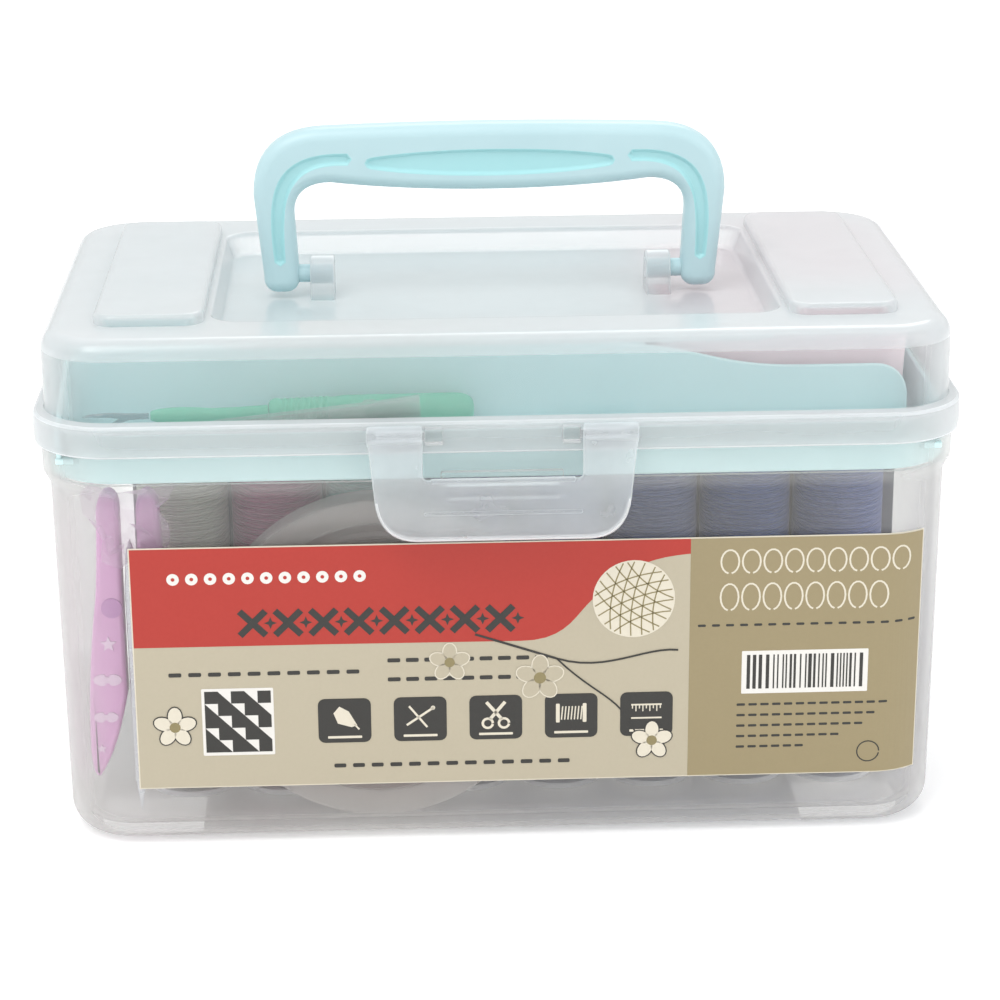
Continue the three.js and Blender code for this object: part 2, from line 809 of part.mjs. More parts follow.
function snipsGrip(side) {
  const { low, high, halfDepth } = SNIPS;
  const shape = new THREE.Shape();
  const out = (value) => side * value;
  shape.moveTo(out(2), low + 22);
  shape.quadraticCurveTo(out(4.4), low + 10, out(9.2), low + 1);
  shape.quadraticCurveTo(out(11), low, out(11.3), low + 8);
  shape.quadraticCurveTo(out(11.2), low + 30, out(8.4), low + 46);
  shape.quadraticCurveTo(out(7.6), high - 14, out(7.2), high - 4);
  shape.quadraticCurveTo(out(6.6), high, out(4.4), high);
  shape.quadraticCurveTo(out(2), high, out(2), high - 5);
  return plateXZ(shape, -halfDepth, halfDepth, 6);
}

function snipsBlades() {
  const { low, high } = SNIPS;
  const blade = shapeOf([
    [-1.4, low + 2], [0, low - 9], [1.4, low + 2], [1.6, high - 26], [0, high - 12],
    [-1.6, high - 26],
  ]);
  return plateXZ(blade, -1, 1);
}

// ---------------------------------------------------------------- assembly

const box = new THREE.Group();

function place(name, manifold, material, parent = box) {
  const mesh = new THREE.Mesh(toGeometry(manifold), material);
  mesh.name = name;
  parent.add(mesh);
  return mesh;
}

place("base_tub", baseTub(), MATERIALS.clear);
place("lid_shell", lidShell(), MATERIALS.clear);
place("carry_handle", carryHandle(), MATERIALS.aqua);
place("front_latch", frontLatch(), MATERIALS.clearLatch);
place("lift_out_tray", liftOutTray(), MATERIALS.trayAqua);
place("small_parts_tray", smallPartsTray(), MATERIALS.pink);
place("front_label", labelSheet(), MATERIALS.label);

// A group that lies along X, turned by its yaw about Z and its pitch down to the right.
function lyingGroup({ tip, yaw, pitch }) {
  const group = new THREE.Group();
  group.rotation.order = "ZYX";
  group.rotation.z = THREE.MathUtils.degToRad(yaw);
  group.rotation.y = THREE.MathUtils.degToRad(pitch);
  group.position.set(...tip);
  box.add(group);
  const turnedPieces = new THREE.Group();
  turnedPieces.rotation.z = -Math.PI / 2;
  group.add(turnedPieces);
  return [group, turnedPieces];
}

const [ripper, turnedRipper] = lyingGroup(RIPPER);
place("seam_ripper_fork", ripperFork(), MATERIALS.steel, ripper);
place("seam_ripper_handle", ripperHandle(), MATERIALS.rippers, turnedRipper);
place("seam_ripper_grip", ripperGrip(), MATERIALS.rippers, turnedRipper);
const turnedCap = lyingGroup(CAP)[1];
place("seam_ripper_cap", ripperCap(), MATERIALS.clear, turnedCap);

const roundCase = new THREE.Group();
roundCase.position.set(CASE.x, CASE.y, CASE.z);
place("round_case_dish", caseDish(), MATERIALS.white, roundCase);
place("round_case_ring", caseRing(), MATERIALS.white, roundCase);
box.add(roundCase);

const snips = new THREE.Group();
snips.position.set(SNIPS.x, SNIPS.y, 0);
place("snips_grip_left", snipsGrip(-1), MATERIALS.orchid, snips);
place("snips_grip_right", snipsGrip(1), MATERIALS.orchid, snips);
place("snips_blades", snipsBlades(), MATERIALS.steel, snips);
box.add(snips);

for (let number = 0; number < SPOOLS.count; number += 1) {
  const spool = new THREE.Group();
  spool.rotation.x = Math.PI / 2;
  spool.position.set(SPOOLS.first + number * SPOOLS.pitch, SPOOLS.y, SPOOLS.bottom);
  const thread = plastic(THREAD_COLOURS[number], 0.75);
  place(`spool_core_${number + 1}`, spoolCore(), MATERIALS.core, spool);
  place(`spool_thread_${number + 1}`, spoolThread(), thread, spool);
  box.add(spool);
}

export default box;
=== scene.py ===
import math
import random

import bpy
import bmesh
from mathutils import Matrix, Vector


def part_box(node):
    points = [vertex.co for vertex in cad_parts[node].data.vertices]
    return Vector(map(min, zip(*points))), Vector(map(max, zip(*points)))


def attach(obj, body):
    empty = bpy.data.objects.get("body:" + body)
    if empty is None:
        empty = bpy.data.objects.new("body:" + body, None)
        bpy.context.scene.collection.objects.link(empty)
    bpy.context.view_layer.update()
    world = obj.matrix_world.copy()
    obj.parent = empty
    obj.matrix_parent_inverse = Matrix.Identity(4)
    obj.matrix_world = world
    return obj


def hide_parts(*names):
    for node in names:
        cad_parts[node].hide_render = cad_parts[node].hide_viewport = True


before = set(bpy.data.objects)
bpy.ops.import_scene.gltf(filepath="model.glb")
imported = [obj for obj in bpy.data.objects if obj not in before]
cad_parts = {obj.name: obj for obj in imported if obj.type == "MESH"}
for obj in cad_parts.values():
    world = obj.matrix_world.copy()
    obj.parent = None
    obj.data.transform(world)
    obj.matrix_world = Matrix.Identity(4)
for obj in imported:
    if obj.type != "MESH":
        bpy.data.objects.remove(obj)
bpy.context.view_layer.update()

# Lengths are in millimetres and become metres when a mesh is made. WALL is the thickness of
# the moulded walls, and ROUND_STEPS the number of steps round a corner of the box.
MM = 0.001
WALL = 1.5
ROUND_STEPS = 14


def node_box(name):
    """Lowest and highest corner of a CAD node, in millimetres."""
    low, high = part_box(name)
    return low / MM, high / MM


# ------------------------------------------------------------------ colours and nodes

def linear(hex_colour):
    """A linear colour with full alpha from an sRGB hex value."""
    channels = [int(hex_colour[i:i + 2], 16) / 255 for i in (1, 3, 5)]
    return [c / 12.92 if c <= 0.04045 else ((c + 0.055) / 1.055) ** 2.4 for c in channels] + [1]


def add(tree, kind, inputs=None, **settings):
    """Adds a node. inputs maps a socket's name or number to a value or to an output socket."""
    new = tree.nodes.new(kind)
    for key, value in settings.items():
        setattr(new, key, value)
    for key, value in (inputs or {}).items():
        if isinstance(value, bpy.types.NodeSocket):
            tree.links.new(value, new.inputs[key])
        else:
            new.inputs[key].default_value = value
    return new


def start_material(name):
    """An empty material, its tree, and the object coordinates that its patterns follow."""
    material = bpy.data.materials.new(name)
    material.use_nodes = True
    tree = material.node_tree
    tree.nodes.clear()
    return material, tree, add(tree, "ShaderNodeTexCoord").outputs["Object"]


def finish_material(material, tree, surface):
    add(tree, "ShaderNodeOutputMaterial", {"Surface": surface})
    return material


def spread(tree, value, low, high):
    """Maps a 0 to 1 value to low to high."""
    return add(tree, "ShaderNodeMapRange", {"Value": value, "To Min": low, "To Max": high}).outputs[0]


def speckle(tree, place, size, detail=2.0):
    """Noise whose blotches are about size millimetres across."""
    inputs = {"Vector": place, "Scale": 1 / (size * MM), "Detail": detail}
    return add(tree, "ShaderNodeTexNoise", inputs).outputs["Fac"]


def two_tone(tree, mask, first, second):
    """Blends two sRGB hex colours by a 0 to 1 mask."""
    ramp = add(tree, "ShaderNodeMix", {"Factor": mask}, data_type="RGBA")
    ramp.inputs[6].default_value = linear(first)
    ramp.inputs[7].default_value = linear(second)
    return ramp.outputs[2]


def bump(tree, height, depth, strength=1.0):
    """Relief of depth millimetres."""
    inputs = {"Height": height, "Distance": depth * MM, "Strength": strength}
    return add(tree, "ShaderNodeBump", inputs).outputs["Normal"]


# ------------------------------------------------------------------ materials

def clear_plastic(name, tint, haze_flat, haze_edge, roughness, flow=25.0):
    """Natural polypropylene, injection moulded: clear where it is seen square on, milky where the eye passes
    along the wall and in thick rims; the milk lets soft light through. The rim mark also paints a highlight:
    it turns marked edges milkier and near white."""
    material, tree, place = start_material(name)
    facing = add(tree, "ShaderNodeLayerWeight", {"Blend": 0.5}).outputs["Facing"]
    slant = add(tree, "ShaderNodeMath", {0: facing, 1: 1.15}, operation="POWER").outputs[0]
    haze = spread(tree, slant, haze_flat, haze_edge)
    marks = spread(tree, speckle(tree, place, flow, 3.0), 0.85, 1.15)
    cloud = add(tree, "ShaderNodeMath", {0: haze, 1: marks}, operation="MULTIPLY").outputs[0]
    # Rim mark: partly thick milky moulding, partly a painted highlight along the edges.
    rim = add(tree, "ShaderNodeAttribute", attribute_name="rim").outputs["Fac"]
    milk = add(tree, "ShaderNodeMath", {0: rim, 1: 0.55, 2: cloud}, operation="MULTIPLY_ADD", use_clamp=True)
    scuffs = spread(tree, speckle(tree, place, 3.0, 4.0), roughness * 0.7, roughness * 1.5)
    ripple = bump(tree, speckle(tree, place, 6.0), 0.05, 0.35)
    # Painted highlight: marked faces turn towards near white #F6F8FA.
    tone = two_tone(tree, rim, tint, "#F6F8FA")
    skin_light = add(tree, "ShaderNodeBsdfPrincipled", {
        "Base Color": tone, "Roughness": scuffs, "IOR": 1.49, "Normal": ripple,
    })
    through = add(tree, "ShaderNodeBsdfTranslucent", {"Color": tone, "Normal": ripple})
    cloudy = add(tree, "ShaderNodeMixShader", {0: 0.42, 1: skin_light.outputs[0], 2: through.outputs[0]})
    window = add(tree, "ShaderNodeBsdfTransparent", {"Color": (1, 1, 1, 1)})
    body = add(tree, "ShaderNodeMixShader", {0: milk.outputs[0], 1: window.outputs[0], 2: cloudy.outputs[0]})
    mirror = add(tree, "ShaderNodeBsdfGlossy", {"Roughness": scuffs, "Normal": ripple})
    steep = add(tree, "ShaderNodeMath", {0: facing, 1: 5.0}, operation="POWER").outputs[0]
    share = spread(tree, steep, 0.03, 0.6)
    mixed = add(tree, "ShaderNodeMixShader", {0: share, 1: body.outputs[0], 2: mirror.outputs[0]})
    return finish_material(material, tree, mixed.outputs[0])


def tinted_plastic(name, light, deep, roughness=0.36, soft=0.12):
    """Coloured polypropylene or polystyrene, injection moulded: even colour with slight
    pigment swirls, satin gloss, faint sink ripples and a little light inside the wall."""
    material, tree, place = start_material(name)
    swirl = speckle(tree, place, 18.0, 3.0)
    rubs = spread(tree, speckle(tree, place, 2.0, 5.0), roughness * 0.8, roughness * 1.25)
    fine = speckle(tree, place, 0.6, 2.0)
    ripple = bump(tree, speckle(tree, place, 5.0), 0.04, 0.4)
    grain = add(tree, "ShaderNodeBump", {
        "Height": fine, "Distance": 0.01 * MM, "Strength": 0.5, "Normal": ripple,
    }).outputs["Normal"]
    body = add(tree, "ShaderNodeBsdfPrincipled", {
        "Base Color": two_tone(tree, swirl, light, deep), "Roughness": rubs, "IOR": 1.49,
        "Normal": grain, "Subsurface Weight": soft, "Subsurface Radius": (1.0, 1.0, 1.0),
        "Subsurface Scale": 1.2 * MM,
    })
    return finish_material(material, tree, body.outputs[0])


def printed_ink(name, colour, worn):
    """Offset ink on paper under a thin glossy laminate: flat colour with faint paper fibre."""
    material, tree, place = start_material(name)
    fibre = speckle(tree, place, 0.8, 6.0)
    tone = two_tone(tree, spread(tree, fibre, 0.0, 0.6), colour, worn)
    orange_peel = bump(tree, speckle(tree, place, 2.5), 0.02, 0.4)
    ink = add(tree, "ShaderNodeBsdfPrincipled", {
        "Base Color": tone, "Roughness": spread(tree, fibre, 0.42, 0.55),
        "Coat Weight": 0.12, "Coat Roughness": 0.2, "Normal": orange_peel,
    })
    return finish_material(material, tree, ink.outputs[0])


def sewing_thread(name, light, deep):
    """Spun polyester thread, wound close: soft matt fibre, with painted shade between the turns in bands of
    the darker tone.
    """
    material, tree, place = start_material(name)
    strands = add(tree, "ShaderNodeTexWave", {
        "Vector": place, "Scale": 0.5 / (0.25 * MM) / 10, "Distortion": 1.5, "Detail": 3.0,
        "Detail Scale": 2.0,
    }, bands_direction="Z")
    fuzz = speckle(tree, place, 0.7, 4.0)
    # Painted shade: the bands, broken up by fuzz, blend in the darker tone between the turns.
    mask = add(tree, "ShaderNodeMath", {0: strands.outputs["Fac"], 1: fuzz}, operation="MULTIPLY")
    relief = bump(tree, strands.outputs["Fac"], 0.12, 0.6)
    body = add(tree, "ShaderNodeBsdfPrincipled", {
        "Base Color": two_tone(tree, mask.outputs[0], deep, light),
        "Roughness": spread(tree, fuzz, 0.6, 0.85), "Sheen Weight": 0.35, "Sheen Roughness": 0.4,
        "Normal": relief,
    })
    return finish_material(material, tree, body.outputs[0])


def polished_steel(name):
    """Ground and polished tool steel: bright metal with fine grinding lines."""
    material, tree, place = start_material(name)
    stretched = add(tree, "ShaderNodeMapping", {"Vector": place, "Scale": (0.08, 1.0, 1.0)})
    lines = speckle(tree, stretched.outputs[0], 0.4, 4.0)
    body = add(tree, "ShaderNodeBsdfPrincipled", {
        "Base Color": linear("#C9CCD0"), "Metallic": 1.0, "Roughness": spread(tree, lines, 0.16, 0.34),
        "Normal": bump(tree, lines, 0.01, 0.5),
    })
    return finish_material(material, tree, body.outputs[0])


def floor_paint(name):
    """Matt white acrylic of a light table, lit softly from below."""
    material, tree, place = start_material(name)
    cloud = speckle(tree, place, 400.0)
    body = add(tree, "ShaderNodeBsdfPrincipled", {
        "Base Color": two_tone(tree, cloud, "#F0F0F0", "#F4F4F4"), "Roughness": 0.7,
        "Specular IOR Level": 0.1, "Emission Color": (1, 1, 1, 1), "Emission Strength": 0.22,
    })
    return finish_material(material, tree, body.outputs[0])


CLEAR_TUB = clear_plastic("moulded_clear_polypropylene_tub", "#E3E1DF", 0.05, 0.85, 0.12)
CLEAR_LID = clear_plastic("moulded_clear_polypropylene_lid", "#E5E7E8", 0.07, 0.95, 0.12)
CLEAR_LATCH = clear_plastic("moulded_clear_polypropylene_latch", "#F2F8FB", 0.27, 0.85, 0.14, 9.0)
CLEAR_STYRENE = clear_plastic("moulded_clear_polystyrene", "#EEF6F2", 0.08, 0.40, 0.06, 9.0)
AQUA_HANDLE = tinted_plastic("moulded_aqua_polypropylene_handle", "#BEDADF", "#B5D3D9")
# The grooves get a deeper aqua than the handle's faces: painted shade in the grooves.
AQUA_PAINTED_GROOVE_SHADE = tinted_plastic("aqua_polypropylene_painted_groove_shade", "#AEDDE1", "#A5D8DC")
AQUA_TRAY = tinted_plastic("moulded_aqua_polypropylene_tray", "#DAF4F5", "#D2EFF1", 0.4)
PINK_TRAY = tinted_plastic("moulded_pink_polypropylene", "#FFECF1", "#FFE4EA", 0.4)
ORCHID = tinted_plastic("moulded_orchid_polystyrene", "#E9B2E0", "#E0A3D7", 0.3)
ORCHID_DEEP = tinted_plastic("moulded_deep_orchid_polystyrene", "#CC8FCB", "#C283C2", 0.3)
ORCHID_PRINT = tinted_plastic("moulded_pale_orchid_polystyrene", "#F6DDF3", "#EFD0EC", 0.3)
BAG_FILM = clear_plastic("blown_polypropylene_film", "#F8DFF5", 0.14, 0.60, 0.05, 7.0)
# A grey sheet that stands in for the shade behind and between the spools.
SHADE_SHEET = printed_ink("painted_shade_grey_sheet", "#6E6E76", "#64646C")
CLEAR_RING = clear_plastic("moulded_clear_polystyrene_ring", "#F2EEEA", 0.32, 0.75, 0.10, 9.0)
CLEAR_BLUSH = clear_plastic("moulded_blush_polystyrene_dish", "#F4E0DA", 0.42, 0.70, 0.12, 9.0)
GREEN = tinted_plastic("moulded_green_polystyrene", "#7FD3B6", "#6CC8AA", 0.22, 0.3)
CORE = tinted_plastic("moulded_spool_plastic", "#E4E5E6", "#DADBDD", 0.5)
STEEL = polished_steel("ground_tool_steel")

INK = {
    "red": printed_ink("printed_red_ink", "#B22F22", "#A92B20"),
    "beige": printed_ink("printed_beige_ink", "#B9B09A", "#B2A993"),
    "tan": printed_ink("printed_tan_ink", "#998B69", "#928563"),
    "dark": printed_ink("printed_dark_ink", "#2B2A27", "#33322E"),
    "cream": printed_ink("printed_cream_ink", "#DDD6C4", "#D6CEBC"),
    "olive": printed_ink("printed_olive_ink", "#8D8159", "#857A53"),
    "white": printed_ink("printed_white_ink", "#E6E4DF", "#DFDCD6"),
}

# Each thread's colour and a darker copy of it, painted as shade between the turns.
THREADS = [
    ("#DADBCE", "#B8B9AC"), ("#B5587F", "#8A4468"), ("#58A8A2", "#3F8882"), ("#8880AC", "#665E8A"),
    ("#7880B4", "#5A6290"), ("#8490BE", "#626E98"), ("#526CB0", "#3C548C"), ("#707EB6", "#526092"),
]


# ------------------------------------------------------------------ mesh tools

def make(name, points, faces, material):
    """A mesh object from points in millimetres."""
    mesh = bpy.data.meshes.new(name)
    mesh.from_pydata([Vector(p) * MM for p in points], [], faces)
    mesh.materials.append(material)
    mesh.update()
    return on_stage(name, mesh)


def on_stage(name, data):
    """A new object in the scene for a mesh, a lamp or a camera."""
    new = bpy.data.objects.new(name, data)
    bpy.context.scene.collection.objects.link(new)
    return new


def bake(piece):
    """Applies the modifiers of a piece to its mesh."""
    graph = bpy.context.evaluated_depsgraph_get()
    baked = bpy.data.meshes.new_from_object(
        piece.evaluated_get(graph), preserve_all_data_layers=True, depsgraph=graph)
    piece.modifiers.clear()
    piece.data = baked
    return piece


def gather(first, *others):
    """Puts several pieces into the first one's mesh, side by side."""
    combined = bmesh.new()
    slots = []
    for piece in (first, *others):
        part = piece.data.copy()
        for material in part.materials:
            if material not in slots:
                slots.append(material)
        lookup = [slots.index(material) for material in part.materials]
        for face in part.polygons:
            face.material_index = lookup[face.material_index]
        combined.from_mesh(part)
    mesh = bpy.data.meshes.new(first.name)
    combined.to_mesh(mesh)
    combined.free()
    for material in slots:
        mesh.materials.append(material)
    first.data = mesh
    for piece in others:
        bpy.data.objects.remove(piece)
    return first


def carve(target, operation, *tools):
    """A boolean with one or more tool pieces, which are used up."""
    tool = gather(*tools)
    modifier = target.modifiers.new("carve", "BOOLEAN")
    modifier.operation = operation
    modifier.solver = "EXACT"
    modifier.material_mode = "TRANSFER"
    modifier.object = tool
    bake(target)
    bpy.data.objects.remove(tool)
    return target


# Where the latch's lugs lie on the lid, and how milky the lid's top is beside its rims.
LUG_REACH, LUG_FRONT, TOP_MARK = 31.0, -66.5, 0.5


def mark_rim_milk_and_highlight(piece, low, high, elsewhere=0.0, top=1000.0):
    """Marks the narrow strips of tight outer edges between two heights, where moulded walls are thick and
    milky and where a painted highlight lies along the edge; the other faces there get a lesser mark, as do
    all above top. The latch's lugs in the middle of the front stay clear."""
    shape = bmesh.new()
    shape.from_mesh(piece.data)
    layer = shape.faces.layers.float.new("rim")
    for face in shape.faces:
        longest = max(edge.calc_length() for edge in face.edges)
        width = face.calc_area() / max(longest, 1e-9)
        bends = [e.calc_face_angle_signed(0.0) for e in face.edges if e.calc_length() > 0.6 * longest]
        bend = max(bends, default=0.0)
        tight = bend / max(width, 1e-6) * MM
        x, y, z = face.calc_center_median() / MM
        lug = abs(x) < LUG_REACH and y < LUG_FRONT
        tight_strip = width < 1.0 * MM and tight > 0.45
        mark = (1.0 if tight_strip else elsewhere) if low < z < high and not lug else 0.0
        face[layer] = max(mark, TOP_MARK if z > top else 0.0)
    shape.to_mesh(piece.data)
    shape.free()
    return piece


def polish(piece, sharp=32):
    """Smooth shading that keeps flats flat and corners crisp."""
    mesh = piece.data
    for face in mesh.polygons:
        face.use_smooth = True
    mesh.set_sharp_from_angle(angle=math.radians(sharp))
    modifier = piece.modifiers.new("flats", "WEIGHTED_NORMAL")
    modifier.keep_sharp = True
    modifier.weight = 90
    return bake(piece)


def skin(name, rings, material, closed=True):
    """A closed body through rings of points. Going up a wall, rings run anticlockwise seen
    from above. With closed, the two end rings are capped; otherwise the last meets the first."""
    count = len(rings[0])
    points = [p for ring in rings for p in ring]
    levels = len(rings)
    faces = []
    for level in range(levels - 1 if closed else levels):
        low = level * count
        high = (level + 1) % levels * count
        for i in range(count):
            j = (i + 1) % count
            faces.append((low + i, low + j, high + j, high + i))
    if closed:
        faces.append(tuple(reversed(range(count))))
        faces.append(tuple(range((levels - 1) * count, levels * count)))
    return make(name, points, faces, material)


def outwards(piece):
    """Turns all faces of a closed piece outwards."""
    shape = bmesh.new()
    shape.from_mesh(piece.data)
    bmesh.ops.recalc_face_normals(shape, faces=shape.faces)
    shape.to_mesh(piece.data)
    shape.free()
    return piece


def rounded_ring(z, half_x, half_y, corner, centre, steps):
    """Points round a rectangle with rounded corners at height z."""
    points = []
    for quarter, (sx, sy) in enumerate(((1, 1), (-1, 1), (-1, -1), (1, -1))):
        for step in range(steps + 1):
            angle = (quarter + step / steps) * math.pi / 2
            x = centre[0] + sx * (half_x - corner) + corner * math.cos(angle)
            y = centre[1] + sy * (half_y - corner) + corner * math.sin(angle)
            points.append((x, y, z))
    return points


def stack(name, levels, material, centre=(0, 0), steps=ROUND_STEPS):
    """A closed body through rounded rectangles given as (z, half x, half y, corner)."""
    return skin(name, [rounded_ring(*level, centre, steps) for level in levels], material)


def round_levels(start, end, steps=6):
    """Quarter-round levels between two (z, half x, half y, corner) levels. The curve leaves
    the start along the wall when it goes from wall to cap, and the other way round when
    start is a cap: a level is a cap where its outline is the smaller of the two."""
    levels = []
    from_cap = start[1] < end[1]
    for step in range(steps + 1):
        angle = step / steps * math.pi / 2
        along, across = (1 - math.cos(angle), math.sin(angle))
        if not from_cap:
            along, across = math.sin(angle), 1 - math.cos(angle)
        levels.append(tuple(
            [start[0] + (end[0] - start[0]) * along]
            + [a + (b - a) * across for a, b in zip(start[1:], end[1:])]))
    return levels


def block(name, low, high, material, edge=0.4):
    """A box with rounded edges, from corner to corner."""
    centre = ((low[0] + high[0]) / 2, (low[1] + high[1]) / 2)
    half_x, half_y = (high[0] - low[0]) / 2, (high[1] - low[1]) / 2
    corner = max(edge, 0.05)
    inner = (half_x - edge, half_y - edge, max(corner - edge, 0.02))
    levels = round_levels((low[2], *inner), (low[2] + edge, half_x, half_y, corner), 3)
    levels += round_levels((high[2] - edge, half_x, half_y, corner), (high[2], *inner), 3)
    return stack(name, levels, material, centre, 3)


def shrink(outline, distance):
    """Moves every point of an anticlockwise outline inwards by distance."""
    moved = []
    for i, point in enumerate(outline):
        before, after = Vector(outline[i - 1]), Vector(outline[(i + 1) % len(outline)])
        here = Vector(point)
        first, second = (here - before).normalized(), (after - here).normalized()
        inward = Vector((-first.y - second.y, first.x + second.x))
        length = inward.length or 1
        inward /= length
        spread_out = max(0.4, abs(inward.dot(Vector((-first.y, first.x)))))
        moved.append(here + inward * distance / spread_out)
    return moved


def plate(name, outline, near, far, material, edge=0.5, steps=3, axis="Y"):
    """A flat piece with rounded edges. outline is anticlockwise, in X and Z for axis Y (near
    is the lowest Y), in Y and Z for axis X, and in X and Y for axis Z."""
    rings = []
    for step in range(steps + 1):
        angle = step / steps * math.pi / 2
        rings.append((near + edge * (1 - math.cos(angle)), edge * (1 - math.sin(angle))))
    rings += [(near + far - depth, inset) for depth, inset in reversed(rings)]
    place = {
        "X": lambda u, v, depth: (depth, u, v),
        "Y": lambda u, v, depth: (u, depth, v),
        "Z": lambda u, v, depth: (u, v, depth),
    }[axis]
    points = [
        [place(u, v, depth) for u, v in (shrink(outline, inset) if inset > 1e-6 else outline)]
        for depth, inset in rings
    ]
    if axis == "Y":
        points.reverse()
    return skin(name, points, material)


def bar_x(name, radius, x0, x1, y, z, material, edge=0.3, sides=28):
    """A round bar along X with eased ends."""
    outline = arc((y, z), radius, 0, 360, sides)[:-1]
    return plate(name, outline, x0, x1, material, edge, 2, "X")


def lathe(name, profile, material, segments=48, matrix=Matrix()):
    """A turned body about Z. The profile's points are (radius, z); it runs from the axis back
    to the axis, or round a closed loop when it never touches it."""
    closed_loop = profile[0][0] > 0
    turns = [2 * math.pi * i / segments for i in range(segments)]
    rings = []
    for radius, height in profile:
        radius = max(radius, 0.01)
        rings.append([(radius * math.cos(t), radius * math.sin(t), height) for t in turns])
    piece = skin(name, rings, material, not closed_loop)
    shift = matrix.copy()
    shift.translation = Vector(matrix.translation) * MM
    piece.data.transform(shift)
    return piece


def arc(centre, radius, start, end, steps=10):
    """Points on an arc, angles in degrees."""
    return [
        (centre[0] + radius * math.cos(math.radians(start + (end - start) * i / steps)),
         centre[1] + radius * math.sin(math.radians(start + (end - start) * i / steps)))
        for i in range(steps + 1)
    ]


def bezier(p0, p1, p2, p3, steps=16):
    """Points on a cubic curve, without the first one."""
    points = []
    for i in range(1, steps + 1):
        t = i / steps
        points.append(tuple(
            (1 - t) ** 3 * a + 3 * (1 - t) ** 2 * t * b + 3 * (1 - t) * t * t * c + t ** 3 * d
            for a, b, c, d in zip(p0, p1, p2, p3)))
    return points


# ------------------------------------------------------------------ tub

TUB_TOP = node_box("base_tub")[1].z
TUB_CORNER = 16.0


def tub_shell():
    """The tub in one skin: up the outside, over the rim, down the inside to the floor."""
    foot = (103.7, 60.7, TUB_CORNER)
    top = (104.4, 61.6, TUB_CORNER)
    collar = (106.0, 63.6, TUB_CORNER + 1.6)
    inner_collar = (104.6, 62.2, TUB_CORNER + 0.2)
    inner_top = (102.9, 60.1, TUB_CORNER - WALL)
    inner_foot = (102.2, 59.2, TUB_CORNER - WALL)
    levels = round_levels((0, 96.7, 53.7, 9.0), (7.0, *foot), 9)
    levels += [(86.6, *top), (87.8, 104.45, 61.65, 16), (89.4, 105.2, 62.6, 16.8)]
    levels += [(90.7, 105.85, 63.4, 17.5), (91.6, *collar), (TUB_TOP - 0.5, *collar)]
    levels += round_levels((TUB_TOP - 0.5, *collar), (TUB_TOP, 105.5, 63.1, 17.1), 3)[1:]
    levels += [(TUB_TOP, 105.1, 62.7, 16.7)]
    levels += [(TUB_TOP - 0.15, 104.75, 62.35, 16.3), (TUB_TOP - 0.5, *inner_collar)]
    levels += [(90.9, *inner_collar), (90.5, 104.5, 62.1, 16.1), (90.3, 104.2, 61.8, 15.9)]
    levels += [(90.3, 103.2, 60.5, 14.8), (90.1, 102.98, 60.2, 14.5), (89.8, *inner_top)]
    levels += round_levels((8.7, *inner_foot), (3.2, 96.7, 53.7, 9.0), 8)
    return stack("tub", levels, CLEAR_TUB)


def tub():
    """The tub with its arched feet, catch rib and hinge lugs."""
    shell = tub_shell()
    arches = [
        block("arch", (-72, -66, -3), (72, 66, 1.3), CLEAR_TUB, 0.6),
        block("arch", (-110, -34, -3), (-71, 34, 1.3), CLEAR_TUB, 0.6),
        block("arch", (71, -34, -3), (110, 34, 1.3), CLEAR_TUB, 0.6),
    ]
    carve(shell, "DIFFERENCE", arches[1], arches[2])
    carve(shell, "DIFFERENCE", arches[0])
    additions = [block("rib", (-14, -65.6, 91.3), (14, -63.2, 93.3), CLEAR_TUB, 0.5)]
    additions += [hinge_lug(side * 55 + offset) for side in (-1, 1) for offset in (-8.5, 8.5)]
    carve(shell, "UNION", *additions)
    return mark_rim_milk_and_highlight(polish(shell), 102.0, 104.0)


HINGE = (67.8, 95.4)


def hinge_lug(x):
    """One lug of the tub's hinge, open at the back so that the lid's pin snaps in."""
    y, z = HINGE
    outline = [(63.1, 91.5), (66.0, 92.3)] + arc((y, z), 2.8, -110, -30, 6)
    outline += arc((y, z), 1.75, -40, -320, 14)
    outline += arc((y, z), 2.8, 30, 100, 6) + [(65.4, 97.4), (63.1, 96.8)]
    return plate("lug", outline, x - 3.5, x + 3.5, CLEAR_TUB, 0.2, 2, "X")


# ------------------------------------------------------------------ lid

PIVOT_Z = 124.0
RECESS = (66.0, 44.0, 118.4)


def lid_shell():
    """The lid in one skin: from the ceiling down the inside, round the skirt and up to the top."""
    upper = (105.0, 61.4, TUB_CORNER)
    inner = (103.5, 59.9, TUB_CORNER - WALL)
    skirt = (107.6, 65.4, 18.8)
    skirt_in = (106.3, 64.1, 17.6)
    levels = round_levels((122.5, 100.5, 56.9, 11.5), (119.5, *inner), 6)
    levels += [(104.5, *inner), (104.1, 103.7, 60.1, 14.7), (103.9, 104.1, 60.5, 15.0)]
    levels += [(103.9, 105.7, 63.5, 17.0), (103.7, 106.15, 63.95, 17.4), (103.3, *skirt_in)]
    levels += [(98.2, *skirt_in), (97.9, 106.4, 64.2, 17.7), (97.8, 106.7, 64.5, 18.0)]
    levels += [(97.8, 107.0, 64.8, 18.3), (97.95, 107.25, 65.05, 18.5), (98.3, 107.4, 65.2, 18.7)]
    levels += [(99.5, 107.55, 65.35, 18.8), (101.4, *skirt), (103.4, 107.5, 65.3, 18.7)]
    levels += round_levels((104.6, 107.4, 65.2, 18.6), (105.3, 106.7, 64.5, 17.9), 4)
    levels += [(105.3, 105.5, 61.9, 16.4), (105.45, 105.15, 61.55, 16.1), (105.8, *upper)]
    levels += round_levels((119.5, *upper), (124.0, 100.5, 56.9, 11.5), 8)
    return stack("lid", levels, CLEAR_LID)


